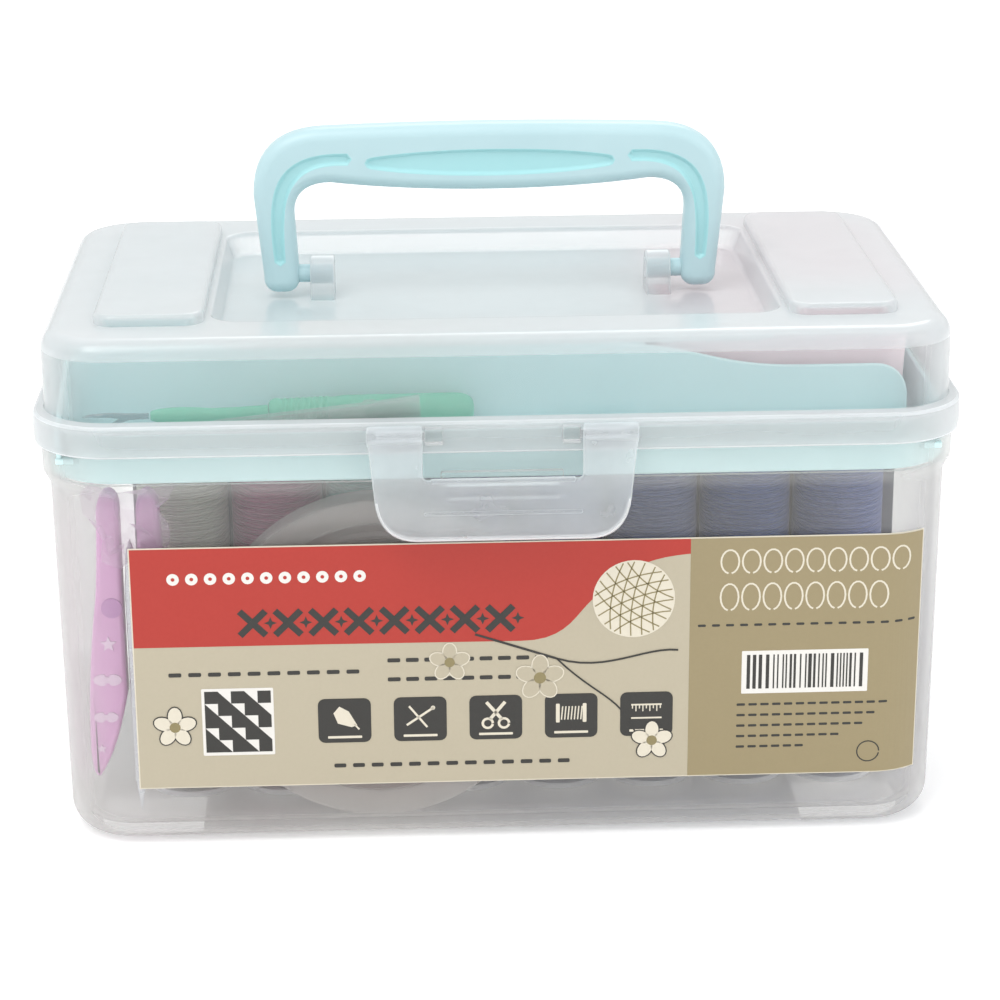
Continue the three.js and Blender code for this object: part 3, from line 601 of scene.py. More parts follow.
def recess_tool(grow, floor, top, lip):
    """The space of the handle recess, grown outwards; lip rounds the rim at the lid's top."""
    half_x, half_y, _ = RECESS
    base = (half_x - 1.2 + grow, half_y - 1.2 + grow, 6.0 + grow)
    wall = (half_x + grow, half_y + grow, 7.0 + grow)
    levels = round_levels((floor, base[0] - 1.5, base[1] - 1.5, base[2] - 1.5), (floor + 1.5, *base), 4)
    if lip:
        levels += [(PIVOT_Z - lip, *[v - 0.05 for v in wall])]
        for step in range(1, 6):
            angle = step / 5 * math.pi / 2
            out = lip * (1 - math.cos(angle))
            levels.append((PIVOT_Z - lip + lip * math.sin(angle), *[v + out for v in wall]))
    levels += [(top, *[v + lip for v in wall])]
    return stack("recess", levels, CLEAR_LID)


def lid_panel(side, inset, low, high):
    """A raised panel of the lid, or with an inset the hollow under it."""
    half_x, half_y, corner = 12.7 - inset, 47.6 - inset, 5.0 - inset
    centre = (side * 80.3, 0)
    levels = [(low, half_x, half_y, corner)]
    levels += round_levels((high - 1.2, half_x, half_y, corner),
                           (high, half_x - 1.2, half_y - 1.2, corner - 1.2), 5)
    return stack("panel", levels, CLEAR_LID, centre)


def pivot_bracket(side):
    """A clear ear on the recess floor with a hole for the handle's pin."""
    foot = RECESS[2] - 0.6
    outline = [(-5.4, foot), (5.4, foot)] + arc((0, PIVOT_Z), 4.4, 0, 180, 14)
    x0 = 38 if side > 0 else -44
    ear = plate("ear", outline, x0, x0 + 6, CLEAR_LID, 0.5, 3, "X")
    hole = bar_x("hole", 2.6, x0 - 2, x0 + 8, 0, PIVOT_Z, CLEAR_LID, 0.1)
    return carve(ear, "DIFFERENCE", hole)


LATCH_AXIS = (-68.2, 103.0)


def latch_lug(side):
    """A lug on the skirt, with the stub pin that the latch turns on."""
    y, z = LATCH_AXIS
    outline = [(-64.9, 100.8), (-64.9, 104.2)] + arc((y, z), 2.2, 85, 275, 12)
    x0, x1 = (13.5, 17.6) if side > 0 else (-17.6, -13.5)
    lug = plate("lug", outline, x0, x1, CLEAR_LID, 0.3, 2, "X")
    stub = (17.0, 28.0) if side > 0 else (-28.0, -17.0)
    return carve(lug, "UNION", bar_x("stub", 1.0, *stub, y, z, CLEAR_LID, 0.2, 16))


def hinge_arm(side):
    """An arm of the lid that ends in the hinge's knuckle and pin."""
    y, z = HINGE
    x = side * 55
    outline = [(65.0, 98.6)] + arc((y, z), 2.75, 170, 360, 14)
    outline += [(70.4, 99.4), (69.2, 102.6), (67.2, 104.0), (65.0, 104.2)]
    arm = plate("arm", outline, x - 4.5, x + 4.5, CLEAR_LID, 0.4, 3, "X")
    return carve(arm, "UNION", bar_x("pin", 1.3, x - 11.6, x + 11.6, y, z, CLEAR_LID, 0.2, 18))


def lid():
    """The lid with its panels, handle recess, ears, latch lugs and hinge arms."""
    shell = lid_shell()
    wanted = [recess_tool(WALL, RECESS[2] - WALL, 123.3, 0.0)]
    wanted += [lid_panel(side, 0.0, 123.0, 126.6) for side in (-1, 1)]
    carve(shell, "UNION", *wanted)
    hollows = [lid_panel(side, WALL, 121.5, 126.6 - WALL) for side in (-1, 1)]
    carve(shell, "DIFFERENCE", recess_tool(0.0, RECESS[2], 132.0, 0.8), *hollows)
    fittings = []
    for side in (-1, 1):
        fittings += [pivot_bracket(side), latch_lug(side), hinge_arm(side)]
    carve(shell, "UNION", *fittings)
    return mark_rim_milk_and_highlight(polish(shell), 97.0, 105.6, 0.35, 117.0)


# ------------------------------------------------------------------ handle

def handle_outline():
    """The bail's outline, anticlockwise in X and Z, from the right foot up and round."""
    feet = [(46.6, PIVOT_Z)] + arc((49.8, 123.0), 3.2, 180, 270, 6)
    feet += arc((52.0, 123.0), 3.2, 270, 360, 6) + [(55.2, PIVOT_Z)]
    right = [(57.2, 144.0)]
    right += bezier((57.2, 144.0), (57.2, 154.4), (51.0, 159.9), (40.0, 160.2), 12)
    right += bezier((40.0, 160.2), (26, 160.7), (12, 160.9), (0, 160.9), 8)
    left = [(-x, z) for x, z in reversed(right[:-1])]
    inner = [(-47.4, 139.5)]
    inner += bezier((-47.4, 139.5), (-47.4, 144.4), (-44.0, 146.9), (-38.4, 146.8), 9)
    inner += bezier((-38.4, 146.8), (-26, 145.2), (-12, 144.6), (0, 144.6), 10)
    inner += [(-x, z) for x, z in reversed(inner[:-1])]
    left_foot = [(-x, z) for x, z in reversed(feet)]
    return feet + right + left + left_foot + inner


HANDLE_HALF = 4.2

# The groove's section, as distances out of the handle's face and inwards from its outline.
GROOVE_SECTION = [(1.2, -0.7), (0.0, -0.55), (-0.22, -0.2), (-0.5, 0.0), (-0.85, 0.25), (-0.95, 0.6)]


def groove_tool(outline, side):
    """A cutter for a groove in the front (-1) or back (1) face, with eased edges; it gives the groove's
    faces the deeper aqua of painted shade.
    """
    face = side * HANDLE_HALF
    rings = []
    for out, inset in GROOVE_SECTION:
        rings.append([(u, face + side * out, v) for u, v in shrink(outline, inset)])
    if side > 0:
        rings.reverse()
    rings.reverse()
    return outwards(skin("groove", rings, AQUA_PAINTED_GROOVE_SHADE))


def grip_leaf():
    """The long leaf-shaped groove of the grip."""
    upper = bezier((28.6, 152.7), (14, 155.0), (-14, 155.0), (-28.6, 152.7), 20)
    lower = bezier((-28.6, 150.9), (-14, 148.3), (14, 148.3), (28.6, 150.9), 20)
    left = [(-29.3, 152.4), (-29.6, 151.8), (-29.3, 151.2), (-28.6, 150.9)]
    right = [(29.3, 151.2), (29.6, 151.8), (29.3, 152.4), (28.6, 152.7)]
    return [*upper, *left, *lower, *right]


def leg_channel(side):
    """The channel that runs up a leg and round the shoulder."""
    out = bezier((52.0, 128.0), (53.6, 144.0), (52.8, 154.5), (34.5, 153.8), 16)
    back = bezier((34.5, 151.9), (49.2, 152.6), (51.0, 144.0), (50.3, 128.0), 16)
    outline = [(52.0, 128.0)] + out + [(33.8, 152.9), (34.5, 151.9)] + back + [(51.1, 127.4)]
    if side < 0:
        return [(-x, z) for x, z in reversed(outline)]
    return outline


def handle():
    """The folding bail: pillow-edged, with grooves both sides and a pin inside each foot."""
    body = plate("handle", handle_outline(), -HANDLE_HALF, HANDLE_HALF, AQUA_HANDLE, 3.0, 8)
    outlines = [grip_leaf(), leg_channel(-1), leg_channel(1)]
    carve(body, "DIFFERENCE", *[groove_tool(o, side) for o in outlines for side in (-1, 1)])
    spans = ((-47, -38.4), (38.4, 47))
    carve(body, "UNION", *[bar_x("pin", 2.2, *span, 0, PIVOT_Z, AQUA_HANDLE, 0.4) for span in spans])
    return polish(body, 40)


# ------------------------------------------------------------------ latch

def latch_outline(inset=0.0):
    """The flap's outline with its window between the lobes."""
    top = LATCH_AXIS[1] + 1.6
    half_top, half_low, low = 30.8 - inset, 29.0 - inset, 78.3 + inset
    corner = 9.5 - inset
    points = [(half_low - corner, low)]
    points += bezier((half_low - corner, low), (half_low - 3.4, low), (half_low - 0.5, low + 3.6),
                     (half_low + 0.15, low + corner), 10)
    points += [(half_top, top), (18.1, top), (18.1, 93.8)] + arc((17.1, 93.8), 1.0, 0, -90, 4)
    left = [(-x, z) for x, z in reversed(points)]
    return points + left


def latch():
    """The latch flap: lobes on the lid's stubs, rib, hook and shelf."""
    y, z = LATCH_AXIS
    flap = plate("latch", latch_outline(), y - 2.0, y - 0.2, CLEAR_LATCH, 0.6, 3)
    lobes, bores = ((18.1, 30.8), (-30.8, -18.1)), ((16, 28.6), (-28.6, -16))
    carve(flap, "UNION", *[bar_x("lobe", 2.4, *span, y, z, CLEAR_LATCH, 0.6) for span in lobes])
    carve(flap, "DIFFERENCE", *[bar_x("bore", 1.35, *span, y, z, CLEAR_LATCH, 0.1) for span in bores])
    extras = [
        block("rib", (-18, y - 2.4, 84.6), (18, y - 1.4, 85.6), CLEAR_LATCH, 0.4),
        block("hook", (-13, y - 0.8, 87.6), (13, -65.9, 90.9), CLEAR_LATCH, 0.5),
        block("shelf", (-16.4, y - 2.4, 92.2), (16.4, y - 1.0, 93.3), CLEAR_LATCH, 0.4),
    ]
    carve(flap, "UNION", *extras)
    return polish(flap)


# Nearly white, milky material for the latch bead: a painted highlight along the flap's rim.
BEAD_HIGHLIGHT = clear_plastic("painted_highlight_polypropylene_bead", "#FBFCFD", 0.55, 0.95, 0.1, 9.0)
BEAD_RADIUS = 0.42


def latch_highlight_bead():
    """A thin, milky, nearly white tube along the flap's sides and bottom: a painted highlight in place of
    the bright line where the rim catches the light.
    """
    y = LATCH_AXIS[0]
    below = [p for p in latch_outline(BEAD_RADIUS) if p[1] < 97.5]
    route = [p for p in below if abs(p[0]) > 18.5 or p[1] < 90]
    route.sort(key=lambda p: math.atan2(p[1] - 100.0, p[0]))
    path = [(x, y - 1.1, z) for x, z in route]
    return tube("latch_highlight_bead", path, BEAD_RADIUS, BEAD_HIGHLIGHT, 10, (1.0, 2.6))


def tube(name, path, radius, material, sides=10, squeeze=(1.0, 1.0)):
    """A closed tube along an open path of points. squeeze scales it across and along Y."""
    rings = []
    for i, point in enumerate(path):
        here = Vector(point)
        before, after = Vector(path[max(i - 1, 0)]), Vector(path[min(i + 1, len(path) - 1)])
        along = (after - before).normalized()
        depth = Vector((0, 1, 0))
        across = along.cross(depth).normalized()
        ring = []
        for k in range(sides):
            angle = 2 * math.pi * k / sides
            ring.append(here + across * (radius * squeeze[0] * math.cos(angle))
                        + depth * (radius * squeeze[1] * math.sin(angle)))
        rings.append(ring)
    return outwards(skin(name, rings, material))


# ------------------------------------------------------------------ trays

TRAY_FLOOR = 92.1
TOOL_FLOOR = 96.4
DIVIDER_Y = (-33.0, -31.6)


def tray_band():
    """The tray's rim band, rear floor and outer walls in one skin."""
    outer = (104.2, 61.8, 16.4)
    inner = (102.8, 60.4, 15.0)
    levels = round_levels((90.6, 103.0, 60.6, 15.4), (91.6, *outer), 4)
    levels += [(101.9, *outer), (102.25, 104.05, 61.65, 16.2), (102.4, 103.8, 61.4, 16.0)]
    levels += [(102.4, 103.2, 60.8, 15.4), (102.25, 102.95, 60.55, 15.2), (101.9, *inner)]
    levels += round_levels((93.6, 102.5, 60.1, 14.8), (TRAY_FLOOR, 101.0, 58.6, 13.3), 4)
    return stack("tray", levels, AQUA_TRAY)


def divider_outline():
    """The long divider's outline: high on the left, an S-curve down to the right."""
    points = [(-101.0, 91.2), (98.0, 91.2), (98.0, 99.8)]
    points += bezier((98.0, 99.8), (98.0, 104.4), (95.0, 107.8), (90.0, 107.8), 8)
    points += [(80.0, 107.8), (72.0, 107.8)]
    points += bezier((72.0, 107.8), (50.0, 107.8), (48.0, 114.2), (20.0, 114.2), 18)
    points += [(0.0, 114.5), (-30.0, 114.9), (-60.0, 115.4), (-90.0, 116.0)]
    points += bezier((-90.0, 116.0), (-97.0, 116.0), (-99.6, 113.5), (-101.0, 108.6), 8)
    return points


def tray():
    """The lift-out tray: band, tool floor, divider, end wall and partitions."""
    band = tray_band()
    end_wall = [(-59.0, 95.6), (-32.2, 95.6), (-32.2, 112.6), (-35.0, 112.2), (-56.0, 105.0), (-59.0, 102.6)]
    parts = [
        plate("divider", divider_outline(), *DIVIDER_Y, AQUA_TRAY, 0.55, 3),
        block("tool_floor", (-101.6, -59.4, TOOL_FLOOR - 1.4), (101.6, -32.0, TOOL_FLOOR), AQUA_TRAY, 0.3),
        plate("end_wall", end_wall, -101.4, -100.0, AQUA_TRAY, 0.5, 3, "X"),
        block("cross", (-37.0, -32.2, 91.4), (-35.6, 60.8, 106.0), AQUA_TRAY, 0.5),
        block("cross", (36.6, -32.2, 91.4), (38.0, 60.8, 106.0), AQUA_TRAY, 0.5),
        block("rail", (-102.9, 14.0, 91.4), (-36.0, 15.4, 106.0), AQUA_TRAY, 0.5),
    ]
    return polish(gather(band, *parts))


def small_tray():
    """The small parts tray with its flanged rim and a fence across it."""
    low, high = node_box("small_parts_tray")
    centre = ((low.x + high.x) / 2, (low.y + high.y) / 2)
    hx, hy = (high.x - low.x) / 2, (high.y - low.y) / 2
    z0, z1 = low.z, high.z
    levels = round_levels((z0, hx - 3.2, hy - 3.2, 4.6), (z0 + 1.6, hx - 1.6, hy - 1.6, 6.2), 4)
    levels += [(z1 - 2.1, hx - 0.7, hy - 0.7, 7.0), (z1 - 1.9, hx - 0.4, hy - 0.4, 7.3)]
    levels += [(z1 - 1.6, hx - 0.1, hy - 0.1, 7.6), (z1 - 1.3, hx, hy, 7.7), (z1 - 0.4, hx, hy, 7.7)]
    levels += [(z1 - 0.1, hx - 0.15, hy - 0.15, 7.5), (z1, hx - 0.45, hy - 0.45, 7.2)]
    levels += [(z1, hx - 1.5, hy - 1.5, 6.4), (z1 - 0.3, hx - 1.85, hy - 1.85, 6.1)]
    levels += round_levels((z0 + 3.3, hx - 2.9, hy - 2.9, 5.2), (z0 + 1.3, hx - 4.9, hy - 4.9, 3.2), 4)
    body = stack("small_tray", levels, PINK_TRAY, centre)
    fence = block("fence", (low.x + 2.4, 9.0, z0 + 0.6), (high.x - 2.4, 10.2, z1 - 5), PINK_TRAY, 0.45)
    return polish(gather(body, fence))


# ------------------------------------------------------------------ printed label

# The label's edges along the wall, its distance from the wall, the paper's thickness, and the
# height of a layer of ink.
LABEL = {"left": -86.0, "right": 98.6, "low": 15.0, "high": 75.3, "away": 0.36}
PAPER = 0.3
INK_STEP = 0.03
INK_DEPTH = 0.025


def wall_at(z):
    """Half sizes of the tub's outside at height z."""
    lean = (z - 7.0) / 81.0
    return 103.7 + 0.7 * lean, 60.7 + 0.9 * lean


def on_label(u, z, proud):
    """A point on the front wall: u is the distance along it from its middle, to the right."""
    half_x, half_y = wall_at(z)
    flat = half_x - TUB_CORNER
    reach = TUB_CORNER + LABEL["away"] + proud
    if u <= flat:
        return (u, -half_y - LABEL["away"] - proud, z)
    angle = (u - flat) / TUB_CORNER
    return (flat + reach * math.sin(angle), TUB_CORNER - half_y - reach * math.cos(angle), z)


def print_area(name, outline, ink, layer):
    """A patch of ink on the label, laid layer steps proud of the sheet."""
    proud = PAPER + INK_STEP * layer
    front = [on_label(u, z, proud) for u, z in outline]
    back = [on_label(u, z, proud - INK_DEPTH) for u, z in outline]
    return skin(name, [back, front], INK[ink])


def print_field(name, columns, ink, layer):
    """A wide patch between a lower and an upper edge, as (u, low z, high z) columns, so that
    it follows the corner."""
    proud = PAPER + INK_STEP * layer
    rings = []
    for u, low, high in columns:
        rings.append([on_label(u, low, proud - INK_DEPTH), on_label(u, low, proud),
                      on_label(u, high, proud), on_label(u, high, proud - INK_DEPTH)])
    return skin(name, rings, INK[ink])


def box_outline(u0, z0, u1, z1, corner=0.0, steps=4):
    """An anticlockwise rectangle, rounded if corner is given, with points across long sides."""
    if corner:
        return (arc((u1 - corner, z1 - corner), corner, 0, 90, steps)
                + arc((u0 + corner, z1 - corner), corner, 90, 180, steps)
                + arc((u0 + corner, z0 + corner), corner, 180, 270, steps)
                + arc((u1 - corner, z0 + corner), corner, 270, 360, steps))
    pieces = 12
    lower = [(u0 + (u1 - u0) * i / pieces, z0) for i in range(pieces + 1)]
    upper = [(u1 + (u0 - u1) * i / pieces, z1) for i in range(pieces + 1)]
    return lower + upper


def stroke(points, width):
    """A line of the given width round a path, as an anticlockwise outline."""
    left, right = [], []
    for i, point in enumerate(points):
        before, after = Vector(points[max(i - 1, 0)]), Vector(points[min(i + 1, len(points) - 1)])
        along = (after - before).normalized()
        side = Vector((-along.y, along.x)) * width / 2
        left.append(Vector(point) + side)
        right.append(Vector(point) - side)
    return right + left[::-1]


def petal_flower(u, z, size, turn):
    """Outlines of five oval petals about a point."""
    ovals = [(0.52 + 0.42 * math.cos(t), 0.3 * math.sin(t)) for t in steps_between(0, 2 * math.pi, 16)[:-1]]
    petals = []
    for k in range(5):
        angle = turn + k * 2 * math.pi / 5
        cos, sin = size * math.cos(angle), size * math.sin(angle)
        petals.append([(u + x * cos - y * sin, z + x * sin + y * cos) for x, y in ovals])
    return petals


def disc(u, z, radius, steps=16):
    """A round outline."""
    return arc((u, z), radius, 0, 360, steps)[:-1]


def steps_between(start, end, count):
    """Evenly spaced values from start to end, both included."""
    return [start + (end - start) * i / count for i in range(count + 1)]


def label_sheet():
    """The paper itself, a thin sheet that turns into the right corner."""
    rings = []
    low, high = LABEL["low"], LABEL["high"]
    for u in steps_between(LABEL["left"], LABEL["right"], 60):
        rings.append([on_label(u, low, 0.0), on_label(u, low, PAPER),
                      on_label(u, high, PAPER), on_label(u, high, 0.0)])
    return skin("label_sheet", rings, INK["cream"])


def label_fields():
    """The big colour fields: red band, beige lower field and tan end panel."""
    left, low, high = LABEL["left"], LABEL["low"] + 0.25, LABEL["high"] - 0.25
    wave = [(left + 0.3, 50.8), (-40, 50.8), (4.0, 50.6)]
    wave += bezier((4.0, 50.6), (16, 50.4), (17, 58.0), (22.0, 61.5), 10)
    wave += bezier((22.0, 61.5), (28, 66.0), (30, 70.4), (43.6, 71.4), 12)
    beige = [(u, low, high) for u in steps_between(left + 0.3, 43.6, 12)]
    tan = [(u, low, high) for u in steps_between(43.6, LABEL["right"] - 0.3, 40)]
    return [
        print_field("field_beige", beige, "beige", 1),
        print_field("field_red", [(u, z, high) for u, z in wave], "red", 2),
        print_field("field_tan", tan, "tan", 2),
    ]


def dashes(start, z, count, step, length, height, corner=0.3):
    """A row of dark printed running stitches, centred on height z."""
    low, high = z - height / 2, z + height / 2
    return [
        ("dark", box_outline(start + i * step, low, start + i * step + length, high, corner, 2), 3)
        for i in range(count)
    ]


def label_stitches():
    """Rows of printed running stitches and cross stitches in place of any writing."""
    marks = dashes(45.5, 53.4, 16, 3.3, 1.9, 0.6, 0.25)
    for i in range(8):
        u = -58.0 + i * 8.2
        for turn in (-1, 1):
            cross = stroke([(u - 3.0, 56.4 - turn * 3.0), (u + 3.0, 56.4 + turn * 3.0)], 1.6)
            marks.append(("dark", cross, 3 + (turn > 0)))
        marks.append(("dark", star(u + 4.1, 56.4, 1.5, 0.6, 4), 3))
    for i in range(11):
        marks.append(("white", disc(-76.0 + i * 4.3, 67.6, 1.45), 3))
        marks.append(("red", disc(-76.0 + i * 4.3, 67.6, 0.45, 10), 4))
    marks += dashes(-78.0, 43.8, 10, 4.6, 3.0, 1.0) + dashes(-27.0, 46.4, 9, 4.3, 3.0, 1.0)
    marks += dashes(-27.0, 41.6, 8, 4.3, 3.0, 1.0) + dashes(-40.0, 19.9, 13, 4.4, 2.8, 1.0)
    return marks


def label_quilt_block():
    """A patchwork block of squares and triangles."""
    marks = [("white", box_outline(-70.6, 23.2, -53.8, 40.2, 0.3, 2), 3)]
    size = 3.1
    for row in range(5):
        for column in range(5):
            u, z = -69.9 + column * size, 24.0 + row * size
            if (row + column) % 2 == 0:
                marks.append(("dark", [(u, z), (u + size, z), (u + size, z + size), (u, z + size)], 4))
            elif row != column:
                marks.append(("dark", [(u, z), (u + size, z), (u, z + size)], 4))
    return marks


def icon_threader(u, z):
    corners = ((-2.6, 1.2), (-1.6, -1.4), (1.6, -2.4), (2.9, -1.9), (1.0, 1.6), (-1.2, 2.9))
    loop = [(u + x, z + y) for x, y in corners]
    return [loop, stroke([(u + 2.2, z - 1.6), (u + 3.4, z - 3.0)], 0.4)]


def icon_needles(u, z):
    return [stroke([(u - 3.2, z - 2.2), (u + 3.2, z + 2.2)], 0.55),
            stroke([(u - 2.6, z + 2.6), (u + 1.6, z - 2.8)], 0.5),
            disc(u + 3.0, z + 2.1, 0.55, 8)]


def icon_scissors(u, z):
    shapes = [stroke([(u - 1.4, z - 1.2), (u + 2.2, z + 3.2)], 0.8),
              stroke([(u + 1.4, z - 1.2), (u - 2.2, z + 3.2)], 0.8)]
    for side in (-1, 1):
        ring = arc((u + side * 1.9, z - 2.2), 1.2, 0, 350, 14)
        shapes.append(stroke(ring, 0.6))
    return shapes


def icon_spool(u, z):
    shapes = [box_outline(x, z - 2.4, x + 0.9, z + 2.4, 0.2, 2) for x in (u - 3.6, u + 2.7)]
    for i in range(7):
        x = u - 2.3 + i * 0.76
        shapes.append(stroke([(x, z - 1.7), (x + 0.3, z + 1.7)], 0.3))
    return shapes


def icon_tape(u, z):
    shapes = [stroke([(u - 3.6, v), (u + 3.6, v)], 0.4) for v in (z + 1.7, z - 1.7)]
    for i in range(9):
        x = u - 3.3 + i * 0.82
        shapes.append(stroke([(x, z + 1.6), (x, z + (0.0 if i % 2 else 0.7))], 0.26))
    return shapes


def label_icons():
    marks = []
    icons = (icon_threader, icon_needles, icon_scissors, icon_spool, icon_tape)
    for i, icon in enumerate(icons):
        u, z = -37.3 + i * 17.75, 31.4
        marks.append(("dark", box_outline(u - 6.2, z - 5.6, u + 6.2, z + 5.6, 1.6), 3))
        marks += [("cream", shape, 4) for shape in icon(u, z + 0.7)]
        marks.append(("cream", box_outline(u - 4.0, z - 4.5, u + 4.0, z - 3.9, 0.15, 2), 4))
    return marks


# Each flower's middle, size, edging and petals.
FLOWERS = [
    (-77.0, 30.6, 5.4, "dark", "cream"), (-12.5, 45.6, 5.0, "cream", "beige"),
    (8.6, 41.2, 6.0, "cream", "beige"), (35.0, 24.6, 5.2, "dark", "cream"),
]


def label_flowers():
    """Small five-petal flowers with an edging and an olive heart."""
    marks = []
    for u, z, size, edging, ink in FLOWERS:
        for petal in petal_flower(u, z, size, 0.3):
            marks += [(edging, shrink(petal, -0.28), 5), (ink, petal, 6)]
        marks.append(("olive", disc(u, z, size * 0.24), 7))
    return marks


def label_thread():
    """A threaded needle whose dark thread loops over the beige field."""
    marks = []
    needle = stroke([(-6.5, 52.5), (2.0, 49.6), (12.5, 46.0)], 0.55)
    marks.append(("dark", needle, 5))
    path = [(12.5, 46.0)] + bezier((12.5, 46.0), (24, 42.0), (33, 48.5), (41.0, 47.5), 12)
    marks.append(("dark", stroke(path, 0.45), 5))
    tail = [(12.5, 46.0)] + bezier((12.5, 46.0), (22, 36.0), (27, 36.5), (31.0, 27.0), 12)
    marks.append(("dark", stroke(tail, 0.4), 5))
    return marks


def label_yarn():
    """A ball of yarn with crossing strands, where the red band ends."""
    centre, radius = (30.5, 60.5), 9.6
    marks = [("cream", disc(*centre, radius, 40), 3)]
    for angle in (20, 80, 140):
        for offset in (-0.62, -0.36, -0.1, 0.16, 0.42):
            turn = math.radians(angle)
            reach = math.sqrt(max(0.0, 0.92 - offset * offset)) * radius
            bow = offset * radius
            line = []
            for i in range(9):
                s = (i / 4 - 1) * reach
                sag = bow + 0.12 * radius * (1 - (s / reach) ** 2)
                line.append((centre[0] + s * math.cos(turn) - sag * math.sin(turn),
                             centre[1] + s * math.sin(turn) + sag * math.cos(turn)))
            marks.append(("olive", stroke(line, 0.3), 4))
    return marks


def label_end_panel():
    """The tan end panel: two rows of looped chain stitch, a striped swatch and fine lines."""
    marks = []
    turns = [math.radians(a) for a in range(-80, 261, 20)]
    for z, height, count in ((69.2, 2.9, 9), (60.4, 3.3, 8)):
        for u in (52.8 + i * 5.0 for i in range(count)):
            loop = [(u + 2.1 * math.cos(t), z + height * math.sin(t)) for t in turns]
            marks.append(("cream", stroke(loop, 0.42), 3))
    marks.append(("white", box_outline(56.0, 36.0, 85.8, 46.8, 0.2, 2), 3))
    bars = random.Random(5)
    u = 57.2
    while u < 84.2:
        width = bars.choice((0.35, 0.55, 0.8))
        marks.append(("dark", box_outline(u, 37.2, u + width, 45.8, 0.05, 1), 4))
        u += width + bars.choice((0.4, 0.6, 0.9))
    for row, count in enumerate((13, 12, 11, 9, 6)):
        marks += dashes(55.0, 33.2 - row * 2.7, count, 2.8, 2.0, 0.6, 0.2)
    marks.append(("dark", stroke(arc((86.5, 20.5), 2.6, 0, 350, 20), 0.3), 3))
    return marks


def label():
    """The label's paper and its inks, one piece for each ink."""
    sheet = polish(label_sheet(), 50)
    fields = label_fields()
    pieces = {"beige": [fields[0]], "red": [fields[1]], "tan": [fields[2]]}
    marks = label_stitches() + label_quilt_block() + label_icons()
    marks += label_flowers() + label_thread() + label_yarn() + label_end_panel()
    for number, (ink, outline, layer) in enumerate(marks):
        pieces.setdefault(ink, []).append(print_area(f"print_{number}", outline, ink, layer))
    inks = []
    for ink, patches in pieces.items():
        patches[0].name = f"label_{ink}_ink"
        inks.append(gather(*patches))
    return [sheet, *inks]


# ------------------------------------------------------------------ sewing kit

def winding_tree(name, material):
    """A geometry tree that stacks turns of thread, each a hair tighter or looser than the next."""
    tree = bpy.data.node_groups.new(name, "GeometryNodeTree")
    for label, kind in WINDING_SIZES.items():
        tree.interface.new_socket(label, in_out="INPUT", socket_type=kind)
    tree.interface.new_socket("Geometry", in_out="OUTPUT", socket_type="NodeSocketGeometry")
    given = add(tree, "NodeGroupInput").outputs
    path = add(tree, "GeometryNodeCurvePrimitiveCircle", {"Resolution": 36, "Radius": given["Radius"]})
    section = add(tree, "GeometryNodeCurvePrimitiveCircle", {"Resolution": 6, "Radius": given["Thread"]})
    turn = add(tree, "GeometryNodeCurveToMesh", {
        "Curve": path.outputs[0], "Profile Curve": section.outputs[0]})
    places = add(tree, "GeometryNodeMeshLine", {
        "Count": given["Turns"], "Start Location": given["Start"], "Offset": given["Pitch"]})
    tension = add(tree, "FunctionNodeRandomValue", {2: 0.99, 3: 1.0, "Seed": given["Seed"]})
    stacked = add(tree, "GeometryNodeInstanceOnPoints", {
        "Points": places.outputs[0], "Instance": turn.outputs[0], "Scale": tension.outputs[1]})
    real = add(tree, "GeometryNodeRealizeInstances", {0: stacked.outputs[0]})
    coloured = add(tree, "GeometryNodeSetMaterial", {"Geometry": real.outputs[0], "Material": material})
    add(tree, "NodeGroupOutput", {0: coloured.outputs[0]})
    return tree


def grow(name, tree, sizes):
    """Runs a geometry tree with the given sizes and returns its plain mesh as a piece."""
    piece = on_stage(name, bpy.data.meshes.new(name))
    modifier = piece.modifiers.new("grow", "NODES")
    modifier.node_group = tree
    for socket in tree.interface.items_tree:
        if socket.in_out == "INPUT":
            modifier[socket.identifier] = sizes[socket.name]
    graph = bpy.context.evaluated_depsgraph_get()
    mesh = bpy.data.meshes.new_from_object(piece.evaluated_get(graph))
    piece.modifiers.remove(modifier)
    piece.data = mesh
    for face in mesh.polygons:
        face.use_smooth = True
    return piece


# Radius of a turn of thread, and what the winding tree is told.
THREAD = 0.36
WINDING_SIZES = {
    "Radius": "NodeSocketFloat", "Thread": "NodeSocketFloat", "Start": "NodeSocketVector",
    "Pitch": "NodeSocketVector", "Turns": "NodeSocketInt", "Seed": "NodeSocketInt",
}


def spool(number):
    """A thread spool: flanged core, and close-wound thread with every turn standing out."""
    low, high = node_box(f"spool_core_{number}")
    centre = Matrix.Translation(((low.x + high.x) / 2, (low.y + high.y) / 2, low.z))
    height = high.z - low.z
    flange = (high.y - low.y) / 2
    core_profile = [(0, 1.6), (2.6, 1.6), (3.0, 0.0), (flange - 0.5, 0.0), (flange - 0.15, 0.15)]
    core_profile += [(flange, 0.5), (flange, 1.1), (flange - 0.2, 1.45), (5.6, 2.0), (5.0, 2.6)]
    mirrored = [(r, height - z) for r, z in reversed(core_profile)]
    core = polish(lathe(f"core_{number}", core_profile + mirrored, CORE, 48, centre))
    start, end = 2.9, height - 2.9
    profile = [(5.35, start), (flange - 0.62, start), (flange - 0.62, end), (5.35, end)]
    material = SPOOL_THREADS[number - 1]
    wound = lathe(f"thread_{number}", profile, material, 48, centre)
    turns = grow(f"turns_{number}", winding_tree(f"thread_turns_{number}", material), {
        "Radius": (flange - 0.2 - THREAD) * MM, "Thread": THREAD * MM,
        "Start": (0, 0, (start + THREAD) * MM), "Pitch": (0, 0, 2 * THREAD * MM),
        "Turns": int((end - start) / (2 * THREAD)), "Seed": 40 + number,
    })
    turns.data.transform(Matrix.Translation(centre.translation * MM))
    return core, gather(wound, turns)


